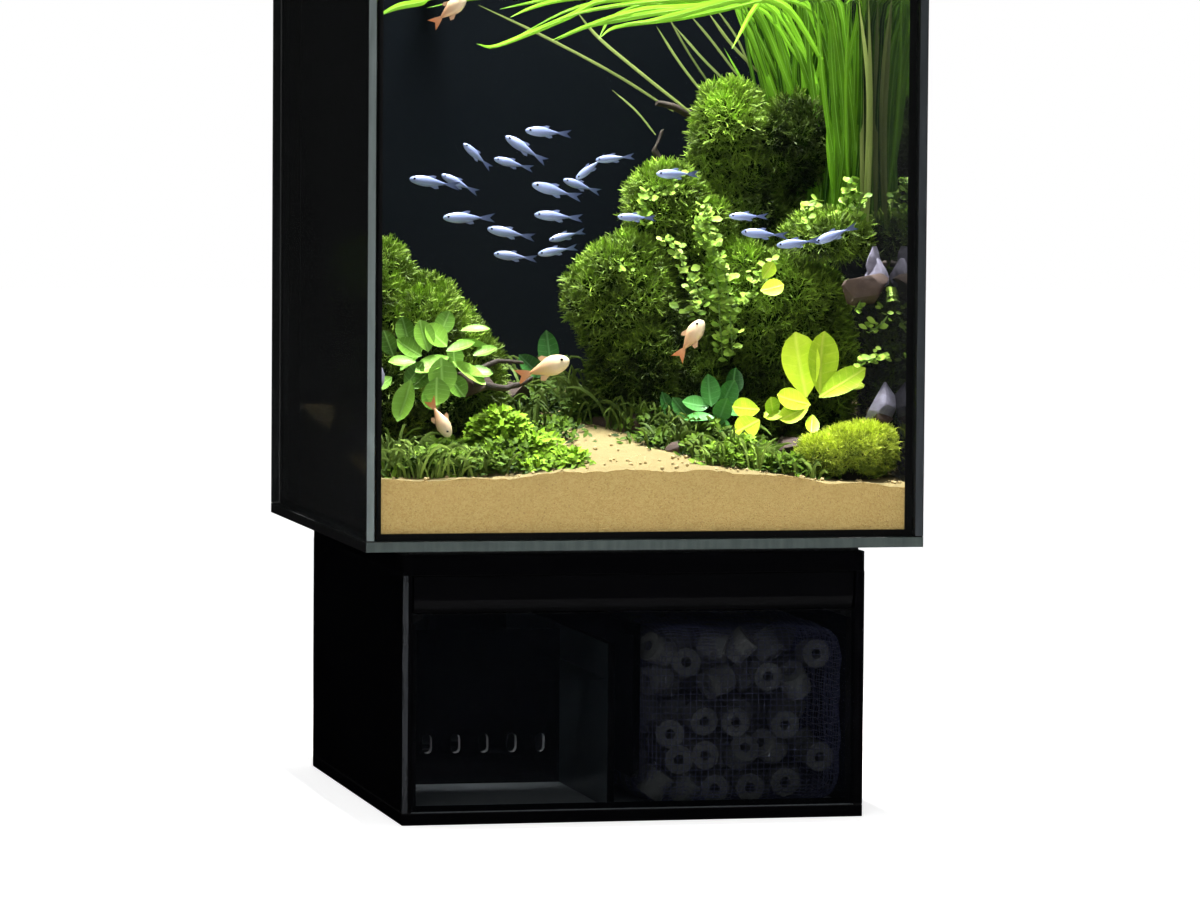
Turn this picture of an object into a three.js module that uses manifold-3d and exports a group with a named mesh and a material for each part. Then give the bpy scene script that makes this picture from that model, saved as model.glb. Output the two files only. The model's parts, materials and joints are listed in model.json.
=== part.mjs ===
// Small overflow aquarium standing on its own filter cabinet.
// Millimetres, +Z up. The origin is on the floor, under the middle of the tank.
import * as THREE from 'three';
import { mergeVertices } from 'three/addons/utils/BufferGeometryUtils.js';
import Module from 'manifold-3d';

const wasm = await Module();
wasm.setup();

// ---------------------------------------------------------------- driving dimensions

// Clearances
const fitGap = 0.3;             // slip fit between two pieces
const slideGap = 0.6;           // each side of the drawer

// Tank
const tankWidth = 230;
const tankDepth = 230;
const tankHeight = 243;
const tankGlass = 4;
const tankBead = 3;             // leg of the silicone fillet

// Filter stand, set in from the tank's front and flush with its back
const standWidth = 192;
const standDepth = 210;
const standWall = 4;
const standFloor = 5;
const frontPaneTop = 85.2;      // sill that the drawer slides over
const standBead = 2.5;
const deckThickness = 8;
const matThickness = 3;
const matInset = 2;

// Baffles between the filter chambers
const baffleThickness = 3;
const overBaffleLeftX = -10.5;  // left face of the plate that the water spills over
const underBaffleRightX = 3;    // right face of the plate that the water passes beneath
const overBaffleTop = 72;
const underBaffleRise = 12;     // gap under the plate
const underBaffleTop = 80;
const combThickness = 4;
const combFrontY = 0;
const combTop = 70;
const combSlotCount = 5;
const combSlotPitch = 12.1;
const combSlotWidth = 4;
const combSlotHeight = 8;
const combSlotZ = 22;
const combSlotMiddleX = -43;
const cordNotchWidth = 14;
const cordNotchHeight = 8;
const cordNotchX = -78;

// Wool drawer
const drawerHeight = 15.2;
const drawerWall = 2;
const drawerFrontThickness = 4;
const drawerRearGap = 3;
const drawerLipHeight = 5.3;
const drawerLipDepth = 2.6;
const runnerWidth = 5;
const runnerHeight = 4;
const strainSlotLength = 34;
const strainSlotWidth = 4;
const strainSlotPitch = 13;
const strainSlotRows = 12;
const woolThickness = 9.5;

// Ring media bag
const bagHeight = 72;
const bagDepth = 150;
const bagCorner = 10;
const bagSideGap = 2;

// Water lines through the tank floor, both in the middle of the overflow chamber's depth
const returnX = -56;
const drainX = 50;

const drainBodyDiameter = 20;
const drainFlangeDiameter = 32;
const drainPipeDiameter = 16;
const drainPipeBore = 12.4;
const drainPipeDrop = 53;       // from the tank's rim down to the pipe's top
const drainNutFlats = 28;
const drainNutHeight = 6;
const strainerDiameter = 25;
const strainerHeight = 34;
const strainerWall = 1.8;
const strainerSlots = 8;
const strainerSlotWidth = 2.6;

const returnBodyDiameter = 15;
const returnFlangeDiameter = 26;
const returnPipeDiameter = 12;
const returnPipeBore = 9.6;
const returnPipeDrop = 17;      // from the tank's rim down to the pipe's top
const returnNutFlats = 22;
const returnNutHeight = 5;
const returnTailDiameter = 10.4;
const returnTailBore = 7.4;
const returnTailLength = 34;    // below the tank's underside
const flangeThickness = 3.5;
const gasketThickness = 2;

const nozzleDiameter = 9;
const nozzleBore = 6.4;
const nozzleBend = 8;
const nozzleReach = 38;
const nozzleCollarDiameter = 14;
const nozzleCollarHeight = 3;
const nozzleSpigot = 14;
const nozzleSteps = 11;

const hoseWall = 2;
const hoseCoverOnPump = 15;
const hoseCoverOnTail = 16;

// Overflow chamber behind the black wall
const chamberDepth = 45;
const weirWallThickness = 3;
const weirSlotWidth = 3;
const weirSlotPitch = 6;
const weirSlotHeight = 13;
const waterDrop = 20;           // from the tank's rim down to the water and the slots' lower ends
const nozzleNotchWidth = 50;
const nozzleNotchDrop = 15;     // from the tank's rim down to the notch's sill

// Lid, clips and chamber cover
const lidThickness = 3;
const lidDrop = 0.5;            // below the rim
const lidGap = 2;               // to the front pane and to the chamber cover
const lidCornerCut = 28;
const clipThickness = 1.6;
const clipLength = 14;
const clipOuterLeg = 12;
const clipLedge = 7;
const clipFromLidFront = 31;
const clipFromLidBack = 33.3;
const handleWidth = 30;
const handleDepth = 10;
const handleHeight = 8;
const coverFingerHole = 16;
const coverLedgeDepth = 4;
const coverLedgeHeight = 4;
const coverLedgeLength = 150;

// Pump, its rotor lying along X with the intake to the right
const pumpCupHeight = 5;
const pumpMotorRadius = 19;
const pumpMotorLength = 25;
const pumpRibCount = 4;
const pumpRibDepth = 1.2;
const pumpFootThickness = 3;
const pumpFootDepth = 40;
const pumpWellRadius = 7;
const pumpWellDepth = 21;
const glandRadius = 4.5;
const glandLength = 11;
const voluteLength = 14;
const voluteWall = 2;
const voluteStartRadius = 13.2;
const voluteGrowth = 3.6;       // how far the spiral opens in one turn
const voluteEyeRadius = 7;
const voluteBossRadius = 15;
const voluteBossHeight = 3.5;
const outletHeight = 37;
const magnetRadius = 6.3;
const magnetLength = 16.5;
const impellerRadius = 12;
const impellerDiscThickness = 1.6;
const vaneCount = 6;
const vaneHeight = 5.5;
const vaneThickness = 1.5;
const vaneSweep = 0.9;
const hubRadius = 3.4;
const shaftRadius = 1.2;
const bushLength = 3;
const frontBushRadius = 2.9;
const intakeCoverWall = 1.5;
const intakeCoverLength = 12;
const intakeSlotCount = 10;
const intakeSlotWidth = 2.2;
const dialRadius = 5.5;
const dialHeight = 4;
const dialStemRadius = 2;
const cupRadius = 7;
const cupStemRadius = 2.2;
const cupSpreadX = 26;
const cupSpreadY = 26;

// Sand and stones
const sandFront = 22;           // sand depth at the front corners
const sandRise = 26;            // how much higher the sand lies at the back
const sandHump = 7.5;
const sandGap = 0.3;            // between the sand and what holds it
const sandColumns = 14;
const sandRows = 10;
const stoneGap = 1.5;           // between a stone and the panes
const rightStoneWidth = 112;
const rightStoneDepth = 96;
const rightStoneHeight = 151;   // above the sand's underside
const rightStoneFromBack = 62;  // from the overflow wall to the stone's middle
const leftStoneWidth = 58;
const leftStoneDepth = 76;
const leftStoneHeight = 80;
const leftStoneFromBack = 86;
const cushionStoneWidth = 38;
const cushionStoneDepth = 28;
const cushionStoneHeight = 22;
const cushionStoneFromFront = 24;
const cushionStoneFromRight = 25;
const cushionStoneBed = 34;     // how high its middle lies above the tank's glass floor

// ---------------------------------------------------------------- values worked out from them

const standMiddleY = (tankDepth - standDepth) / 2;
const standInsideX = standWidth / 2 - standWall;
const standInsideY = standDepth / 2 - standWall;
const drawerBottom = frontPaneTop + fitGap;
const deckUnderside = drawerBottom + drawerHeight + fitGap;
const tankUnderside = deckUnderside + deckThickness + matThickness;
const tankInsideX = tankWidth / 2 - tankGlass;
const tankInsideY = tankDepth / 2 - tankGlass;
const weirWallBackY = tankInsideY - chamberDepth;
const weirWallFrontY = weirWallBackY - weirWallThickness;
const pipeY = tankInsideY - chamberDepth / 2;
const weirSlotBottom = tankHeight - waterDrop;
const nozzleNotchBottom = tankHeight - nozzleNotchDrop;
const drainPipeTop = tankHeight - drainPipeDrop;
const returnPipeTop = tankHeight - returnPipeDrop;
const lidUnderside = tankHeight - lidDrop - lidThickness;
const coverSeat = lidUnderside - fitGap;
const drainHoleDiameter = drainBodyDiameter + 2 * fitGap;
const returnHoleDiameter = returnBodyDiameter + 2 * fitGap;
const drainNutClearance = drainNutFlats / Math.cos(Math.PI / 6) + 2;
const returnNutClearance = returnNutFlats / Math.cos(Math.PI / 6) + 2;
const hoseBore = returnTailDiameter + 2 * fitGap;
const hoseDiameter = hoseBore + 2 * hoseWall;
const outletOffset = voluteStartRadius + voluteGrowth / 2 - returnTailBore / 2;

// ---------------------------------------------------------------- shape helpers

const segments = 20;

function toSolid(geometry) {
  const bare = geometry.clone();
  bare.deleteAttribute('normal');
  bare.deleteAttribute('uv');
  const merged = mergeVertices(bare, 1e-4);
  const mesh = new wasm.Mesh({
    numProp: 3,
    vertProperties: Float32Array.from(merged.attributes.position.array),
    triVerts: Uint32Array.from(merged.index.array),
  });
  return new wasm.Manifold(mesh);
}

function toGeometry(solid) {
  const mesh = solid.getMesh();
  const geometry = new THREE.BufferGeometry();
  geometry.setAttribute('position', new THREE.BufferAttribute(mesh.vertProperties, 3));
  geometry.setIndex(new THREE.BufferAttribute(mesh.triVerts, 1));
  geometry.computeVertexNormals();
  return geometry;
}

function join(...pieces) {
  return toGeometry(pieces.map(toSolid).reduce((whole, piece) => whole.add(piece)));
}

function cut(piece, ...tools) {
  return toGeometry(tools.map(toSolid).reduce((rest, tool) => rest.subtract(tool), toSolid(piece)));
}

function box(width, depth, height, x = 0, y = 0, z = 0) {
  return new THREE.BoxGeometry(width, depth, height).translate(x, y, z);
}

// A rod or disc standing on z.
function rod(radius, height, x = 0, y = 0, z = 0, sides = segments) {
  const geometry = new THREE.CylinderGeometry(radius, radius, height, sides);
  return geometry.rotateX(Math.PI / 2).translate(x, y, z + height / 2);
}

// A ring-shaped or solid piece turned about Z from its [radius, height] profile.
function turned(profile, sides = segments) {
  const points = profile.map(([radius, height]) => new THREE.Vector2(radius, height));
  if (profile[0][0] > 0) points.push(points[0].clone());
  return new THREE.LatheGeometry(points, sides).rotateX(Math.PI / 2);
}

// A straight tube standing on z = 0.
function tube(outerRadius, innerRadius, height, sides = segments) {
  return turned([[innerRadius, 0], [outerRadius, 0], [outerRadius, height], [innerRadius, height]], sides);
}

function outline(points) {
  return new THREE.Shape(points.map(([x, y]) => new THREE.Vector2(x, y)));
}

function roundedRectangle(width, height, radius, x = 0, y = 0) {
  const shape = new THREE.Shape();
  const left = x - width / 2;
  const right = x + width / 2;
  const low = y - height / 2;
  const high = y + height / 2;
  shape.moveTo(left + radius, low);
  shape.lineTo(right - radius, low);
  shape.absarc(right - radius, low + radius, radius, -Math.PI / 2, 0);
  shape.lineTo(right, high - radius);
  shape.absarc(right - radius, high - radius, radius, 0, Math.PI / 2);
  shape.lineTo(left + radius, high);
  shape.absarc(left + radius, high - radius, radius, Math.PI / 2, Math.PI);
  shape.lineTo(left, low + radius);
  shape.absarc(left + radius, low + radius, radius, Math.PI, 1.5 * Math.PI);
  return shape;
}

function roundHole(diameter, x, y) {
  return new THREE.Path().absarc(x, y, diameter / 2, 0, 2 * Math.PI, true);
}

function slotHole(width, height, x, y) {
  const radius = Math.min(width, height) / 2 - 1e-3;
  return new THREE.Path(roundedRectangle(width, height, radius, x, y).getPoints(2).reverse());
}

// A flat plate, drawn in plan and raised from z = 0.
function plate(shape, thickness, curveSegments = 8) {
  return new THREE.ExtrudeGeometry(shape, { depth: thickness, bevelEnabled: false, curveSegments });
}

// A section drawn in width and height and drawn out along Y, centred on y = 0.
function alongY(shape, length, curveSegments = 6) {
  return plate(shape, length, curveSegments).rotateX(Math.PI / 2).translate(0, length / 2, 0);
}

// A section drawn in depth and height and drawn out along X, centred on x = 0.
function alongX(shape, length, curveSegments = 6) {
  return plate(shape, length, curveSegments).rotateX(Math.PI / 2).rotateZ(Math.PI / 2)
    .translate(-length / 2, 0, 0);
}

// A piece modelled about Z is laid with its top towards +X.
function layAlongX(geometry) {
  return geometry.rotateY(Math.PI / 2);
}

function finish(color, roughness, metalness = 0) {
  return new THREE.MeshStandardMaterial({ color, roughness, metalness });
}

function addPart(group, name, geometry, material, x = 0, y = 0, z = 0) {
  const mesh = new THREE.Mesh(geometry, material);
  mesh.name = name;
  mesh.position.set(x, y, z);
  group.add(mesh);
}

// Silicone fillets along the floor and up the four corners of a glued box.
function cornerBeads(insideX, insideY, height, leg) {
  const corner = (sx, sy) => outline([[0, 0], [sx * leg, 0], [0, sy * leg]].map(
    ([x, y]) => [x - sx * insideX, y - sy * insideY]));
  const uprights = [[1, 1], [1, -1], [-1, 1], [-1, -1]].map(([sx, sy]) => plate(corner(sx, sy), height));
  const sides = [1, -1].flatMap((side) => [
    alongY(outline([[side * insideX, 0], [side * insideX, leg], [side * (insideX - leg), 0]]), 2 * insideY),
    alongX(outline([[side * insideY, 0], [side * insideY, leg], [side * (insideY - leg), 0]]), 2 * insideX),
  ]);
  return join(...uprights, ...sides);
}

// ---------------------------------------------------------------- finishes

const blackAcrylic = finish(0x0b0c0e, 0.12);
const smokedAcrylic = finish(0x1b1f22, 0.1);
const clearGlass = finish(0xc4d6d0, 0.05);
const darkGlass = finish(0x14171a, 0.08);
const blackSilicone = finish(0x0a0a0b, 0.55);
const blackPlastic = finish(0x151617, 0.45);
const greyPipe = finish(0x3b3f42, 0.5);
const blackFoam = finish(0x1a1a1b, 0.95);
const whiteWool = finish(0xe9ebe6, 0.98);
const netBag = finish(0x9a9da2, 0.9);
const ceramic = finish(0xe8e6df, 0.7);
const ferrite = finish(0x2c2c2e, 0.6, 0.3);
const clearVinyl = finish(0xa9b3b4, 0.3);
const clearPlastic = finish(0xcfd8d9, 0.2);
const sand = finish(0xb4965a, 0.95);
const stoneGrey = finish(0x4c4a42, 0.95);

// ---------------------------------------------------------------- filter stand

function deckOutline(inset, holeGap) {
  const shape = roundedRectangle(standWidth - 2 * inset, standDepth - 2 * inset, 1);
  shape.holes.push(roundHole(drainNutClearance + holeGap, drainX, pipeY - standMiddleY));
  shape.holes.push(roundHole(returnNutClearance + holeGap, returnX, pipeY - standMiddleY));
  return shape;
}

// The plate between the two left chambers, with a row of slots low down.
function combBaffle() {
  const left = -standInsideX;
  const chamfer = standBead + fitGap;
  const shape = outline([
    [left + chamfer, standFloor], [overBaffleLeftX, standFloor], [overBaffleLeftX, combTop],
    [left, combTop], [left, standFloor + chamfer],
  ]);
  for (let slot = 0; slot < combSlotCount; slot += 1) {
    const x = combSlotMiddleX + (slot - (combSlotCount - 1) / 2) * combSlotPitch;
    shape.holes.push(slotHole(combSlotWidth, combSlotHeight, x, combSlotZ));
  }
  return alongY(shape, combThickness);
}

// A long plate from front to back; its lower corners clear the floor beads.
function longBaffle(bottom, top) {
  const chamfer = standBead + fitGap;
  const shape = outline([
    [chamfer - standInsideY, bottom], [standInsideY - chamfer, bottom],
    [standInsideY, bottom + chamfer], [standInsideY, top],
    [-standInsideY, top], [-standInsideY, bottom + chamfer],
  ]);
  return alongX(shape, baffleThickness);
}

function standBack() {
  const height = deckUnderside - standFloor;
  const panel = box(2 * standInsideX, standWall, height, 0, 0, height / 2);
  const notch = box(cordNotchWidth, 2 * standWall, 2 * cordNotchHeight, cordNotchX, 0, height);
  return cut(panel, notch);
}

function buildStand() {
  const group = new THREE.Group();
  group.position.y = standMiddleY;
  const wallHeight = deckUnderside - standFloor;
  const wallX = (standWidth - standWall) / 2;
  const wallY = (standDepth - standWall) / 2;
  addPart(group, 'stand_floor', box(standWidth, standDepth, standFloor), smokedAcrylic, 0, 0, standFloor / 2);
  for (const [name, side] of [['stand_left_wall', -1], ['stand_right_wall', 1]]) {
    const wall = box(standWall, standDepth, wallHeight);
    addPart(group, name, wall, blackAcrylic, side * wallX, 0, standFloor + wallHeight / 2);
  }
  const paneHeight = frontPaneTop - standFloor;
  const pane = box(2 * standInsideX, standWall, paneHeight);
  addPart(group, 'stand_front_pane', pane, smokedAcrylic, 0, -wallY, standFloor + paneHeight / 2);
  addPart(group, 'stand_back_wall', standBack(), blackAcrylic, 0, wallY, standFloor);

  const beadHeight = frontPaneTop - runnerHeight - standFloor - fitGap;
  const beads = cornerBeads(standInsideX, standInsideY, beadHeight, standBead);
  addPart(group, 'stand_silicone', beads, blackSilicone, 0, 0, standFloor);

  const runnerX = standInsideX - runnerWidth / 2;
  for (const [name, side] of [['left_runner', -1], ['right_runner', 1]]) {
    const section = outline([
      [-side * runnerWidth / 2, runnerHeight], [-side * runnerWidth / 2, runnerHeight / 2],
      [side * runnerWidth / 2, 0], [side * runnerWidth / 2, runnerHeight],
    ]);
    const runner = alongY(section, 2 * standInsideY);
    addPart(group, name, runner, blackPlastic, side * runnerX, 0, frontPaneTop - runnerHeight);
  }

  const overX = overBaffleLeftX + baffleThickness / 2;
  addPart(group, 'over_baffle', longBaffle(standFloor, overBaffleTop), blackAcrylic, overX);
  const underX = underBaffleRightX - baffleThickness / 2;
  const underBottom = standFloor + underBaffleRise;
  addPart(group, 'under_baffle', longBaffle(underBottom, underBaffleTop), blackAcrylic, underX);
  const combY = combFrontY + combThickness / 2 - standMiddleY;
  addPart(group, 'comb_baffle', combBaffle(), blackAcrylic, 0, combY);

  addPart(group, 'stand_deck', plate(deckOutline(0, 0), deckThickness), blackAcrylic, 0, 0, deckUnderside);
  const mat = plate(deckOutline(matInset, 1), matThickness);
  addPart(group, 'levelling_mat', mat, blackFoam, 0, 0, deckUnderside + deckThickness);
  return group;
}

// A net bag full of ceramic rings, standing in the right-hand chamber.
function buildMediaBag() {
  const room = standInsideX - underBaffleRightX;
  const bevel = bagCorner;
  const section = roundedRectangle(room - 2 * bagSideGap - 2 * bevel, bagHeight - 2 * bevel, 2);
  const bag = new THREE.ExtrudeGeometry(section, {
    depth: bagDepth - 2 * bevel, bevelThickness: bevel, bevelSize: bevel, bevelSegments: 3, curveSegments: 2,
  }).translate(0, 0, bevel).rotateX(Math.PI / 2).translate(0, bagDepth, 0);
  const group = new THREE.Group();
  const frontY = standMiddleY - standInsideY + bagSideGap;
  const x = (standInsideX + underBaffleRightX) / 2;
  addPart(group, 'media_bag', bag, netBag, x, frontY, standFloor + fitGap + bagHeight / 2);
  return group;
}

// ---------------------------------------------------------------- wool drawer

const drawerHalfWidth = standInsideX - slideGap;
const drawerLength = 2 * standInsideY - drawerRearGap;
const drawerFrontY = standMiddleY - standInsideY;

// The tray in plan, shrunk by an inset, with a bay at the rear for the return hose.
function trayOutline(inset) {
  const bayHalf = hoseDiameter / 2 + 3 + inset;
  const bayFront = pipeY - drawerFrontY - bayHalf;
  const left = inset - drawerHalfWidth;
  const right = drawerHalfWidth - inset;
  const rear = drawerLength - inset;
  const shape = new THREE.Shape();
  shape.moveTo(left, inset);
  shape.lineTo(right, inset);
  shape.lineTo(right, rear);
  shape.lineTo(returnX + bayHalf, rear);
  shape.lineTo(returnX + bayHalf, bayFront + bayHalf);
  shape.absarc(returnX, bayFront + bayHalf, bayHalf, 0, -Math.PI, true);
  shape.lineTo(returnX - bayHalf, rear);
  shape.lineTo(left, rear);
  return shape;
}

function drawerTray() {
  const shell = plate(trayOutline(0), drawerHeight);
  const hollow = plate(trayOutline(drawerWall), drawerHeight).translate(0, 0, drawerWall);
  const slots = [];
  for (const column of [0.28, 0.76]) {
    for (let row = 0; row < strainSlotRows; row += 1) {
      const x = underBaffleRightX + (drawerHalfWidth - underBaffleRightX) * column;
      const y = drawerLength / 2 + (row - (strainSlotRows - 1) / 2) * strainSlotPitch;
      slots.push(box(strainSlotLength, strainSlotWidth, 3 * drawerWall, x, y, 0));
    }
  }
  return cut(shell, hollow, ...slots);
}

function buildDrawer() {
  const group = new THREE.Group();
  group.position.set(0, drawerFrontY, drawerBottom);
  addPart(group, 'drawer_tray', drawerTray(), blackPlastic);
  const frontSection = outline([
    [0, 0], [0, drawerHeight], [-drawerFrontThickness, drawerHeight],
    [-drawerFrontThickness, drawerLipHeight], [drawerLipDepth - drawerFrontThickness, 0],
  ]);
  addPart(group, 'drawer_front', alongX(frontSection, 2 * drawerHalfWidth), blackAcrylic);
  const wool = plate(trayOutline(drawerWall + fitGap), woolThickness);
  addPart(group, 'wool_pad', wool, whiteWool, 0, 0, drawerWall + fitGap);
  return group;
}

// ---------------------------------------------------------------- pump

// Radius of the volute's inner wall at an angle, growing evenly from the tongue round to the outlet.
function spiral(extra) {
  const steps = 24;
  const points = [];
  for (let step = 0; step <= steps; step += 1) {
    const turn = step / steps;
    const radius = voluteStartRadius + voluteGrowth * turn + extra;
    const angle = 2 * Math.PI * turn;
    points.push([radius * Math.cos(angle), radius * Math.sin(angle)]);
  }
  return outline(points);
}

// Casing with a spiral chamber, an upright outlet and three spokes that hold the front bush.
function pumpVolute() {
  const outletRadius = returnTailDiameter / 2;
  const casing = plate(spiral(voluteWall), voluteLength);
  const boss = tube(voluteBossRadius, voluteBossRadius - voluteWall, voluteBossHeight + voluteWall)
    .translate(0, 0, voluteLength - voluteWall);
  const spout = rod(outletRadius, outletHeight, 0, 0, 0).rotateX(-Math.PI / 2)
    .translate(outletOffset, 0, voluteLength / 2);
  const rim = turned([[0, 0], [outletRadius, 0], [outletRadius + 0.2, 1], [outletRadius - 0.4, 4], [0, 4]])
    .rotateX(-Math.PI / 2).translate(outletOffset, outletHeight - 4, voluteLength / 2);
  const chamber = plate(spiral(0), voluteLength - 2 * voluteWall).translate(0, 0, voluteWall);
  const back = rod(voluteStartRadius - 0.6, 2 * voluteWall, 0, 0, -voluteWall / 2);
  const eye = rod(voluteEyeRadius, 3 * voluteWall, 0, 0, voluteLength - 2 * voluteWall);
  const passage = rod(returnTailBore / 2, outletHeight, 0, 0, 0).rotateX(-Math.PI / 2)
    .translate(outletOffset, 1, voluteLength / 2);
  const open = cut(join(casing, boss, spout, rim), chamber, back, eye, passage);
  const hub = tube(frontBushRadius + fitGap + 1.2, frontBushRadius + fitGap, bushLength)
    .translate(0, 0, voluteLength - voluteWall);
  const spokes = [0, 1, 2].map((index) => {
    const reach = voluteEyeRadius - frontBushRadius;
    const start = frontBushRadius + fitGap + 0.6;
    return box(reach, 1.6, bushLength - 0.8, start + reach / 2, 0, voluteLength - voluteWall + bushLength / 2)
      .rotateZ(index * 2 * Math.PI / 3);
  });
  return join(open, hub, ...spokes);
}

// Ribbed can with a blind well for the rotor.
function pumpMotor() {
  const pitch = pumpMotorLength / pumpRibCount;
  const ribs = [];
  for (let rib = pumpRibCount - 2; rib >= 0; rib -= 1) {
    const z = -pitch * (rib + 0.7);
    ribs.push([pumpMotorRadius, z - pitch * 0.4 - 0.5], [pumpMotorRadius - pumpRibDepth, z - pitch * 0.4]);
    ribs.push([pumpMotorRadius - pumpRibDepth, z - 0.5], [pumpMotorRadius, z]);
  }
  return turned([
    [0, -pumpMotorLength], [pumpMotorRadius - 3, -pumpMotorLength],
    [pumpMotorRadius, 3 - pumpMotorLength], ...ribs, [pumpMotorRadius, 0],
    [pumpWellRadius, 0], [pumpWellRadius, -pumpWellDepth], [0, -pumpWellDepth],
  ]);
}

function pumpFoot() {
  const length = pumpMotorLength + voluteLength;
  const footZ = -pumpMotorRadius - voluteWall;
  const shape = roundedRectangle(length, pumpFootDepth, 4, (voluteLength - pumpMotorLength) / 2, 0);
  for (const [x, y] of cupPlaces()) shape.holes.push(roundHole(2 * (cupStemRadius + fitGap), x, y));
  const foot = plate(shape, pumpFootThickness).translate(0, 0, footZ);
  const saddleHeight = pumpFootThickness + 6;
  const saddleZ = footZ + saddleHeight / 2;
  const saddle = box(pumpMotorLength - 4, pumpFootDepth / 2, saddleHeight, -pumpMotorLength / 2, 0, saddleZ);
  return [foot, saddle];
}

// The tapered gland on top of the can that the power lead leaves by.
function pumpGland() {
  const start = pumpMotorRadius - 2;
  const profile = [[0, start], [glandRadius, start], [glandRadius, start + 4],
    [glandRadius - 1.5, start + glandLength], [0, start + glandLength]];
  return turned(profile, 12).translate(3 + glandRadius - pumpMotorLength, 0, 0);
}

function cupPlaces() {
  const middleX = (voluteLength - pumpMotorLength) / 2;
  return [[-1, -1], [-1, 1], [1, -1], [1, 1]].map(
    ([sx, sy]) => [middleX + sx * cupSpreadX / 2, sy * cupSpreadY / 2]);
}

// Magnet, disc and swept vanes in one moulding, bored for the shaft.
function pumpRotor() {
  const magnet = rod(magnetRadius, magnetLength, 0, 0, -magnetLength);
  const neck = rod(hubRadius, 3, 0, 0, -1);
  const disc = rod(impellerRadius, impellerDiscThickness, 0, 0, 1);
  const hub = rod(hubRadius, vaneHeight + impellerDiscThickness, 0, 0, 1);
  const vanes = [];
  for (let vane = 0; vane < vaneCount; vane += 1) {
    const steps = 5;
    const outer = [];
    const inner = [];
    for (let step = 0; step <= steps; step += 1) {
      const radius = hubRadius - 0.8 + (impellerRadius - hubRadius + 0.8) * step / steps;
      const angle = -vaneSweep * (step / steps) ** 1.4;
      const half = vaneThickness / 2 / radius;
      outer.push([radius * Math.cos(angle + half), radius * Math.sin(angle + half)]);
      inner.unshift([radius * Math.cos(angle - half), radius * Math.sin(angle - half)]);
    }
    const blade = plate(outline([...inner, ...outer].reverse()), vaneHeight + 0.5);
    blade.translate(0, 0, 1 + impellerDiscThickness - 0.5);
    vanes.push(blade.rotateZ(vane * 2 * Math.PI / vaneCount));
  }
  const bore = rod(shaftRadius + fitGap, magnetLength + vaneHeight + 8, 0, 0, -magnetLength - 2, 12);
  return cut(join(magnet, neck, disc, hub, ...vanes), bore);
}

// Slotted cap pushed over the ring round the intake eye.
function intakeCover() {
  const inner = voluteBossRadius + fitGap;
  const outer = inner + intakeCoverWall;
  const profile = [
    [inner, 0], [outer, 0], [outer, intakeCoverLength - 2], [outer - 2, intakeCoverLength],
    [dialStemRadius + fitGap, intakeCoverLength],
    [dialStemRadius + fitGap, intakeCoverLength - intakeCoverWall],
    [inner - 1, intakeCoverLength - intakeCoverWall],
    [inner, intakeCoverLength - intakeCoverWall - 1],
  ];
  const slots = [];
  for (let slot = 0; slot < intakeSlotCount; slot += 1) {
    const cutter = box(7, intakeSlotWidth, 4 * intakeCoverWall, inner - 4.5, 0, intakeCoverLength)
      .rotateZ(slot * 2 * Math.PI / intakeSlotCount);
    slots.push(cutter);
  }
  return cut(turned(profile), ...slots);
}

function flowDial() {
  const knob = turned([[0, 0], [dialRadius, 0], [dialRadius - 0.5, dialHeight], [0, dialHeight]])
    .translate(0, 0, fitGap);
  const stem = rod(dialStemRadius, intakeCoverWall + 2.2, 0, 0, -intakeCoverWall - 1.2, 12);
  const grip = box(2 * dialRadius - 2, 1.8, 2, 0, 0, dialHeight + fitGap + 0.8);
  return join(knob, stem, grip);
}

// A suction cup: soft skirt below, a stem through the foot and a button above it.
function suctionCup() {
  const under = pumpCupHeight;
  const top = under + pumpFootThickness;
  return turned([
    [0, 1.6], [cupRadius - 1.6, 0], [cupRadius, 0], [cupStemRadius + 1, under - fitGap],
    [cupStemRadius, under - fitGap], [cupStemRadius, top + fitGap],
    [cupStemRadius + 0.8, top + fitGap], [cupStemRadius, top + 1.8], [0, top + 1.8],
  ], 12);
}

const pumpAxisZ = standFloor + pumpCupHeight + pumpMotorRadius + voluteWall;
const outletTopZ = pumpAxisZ + outletHeight;

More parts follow.
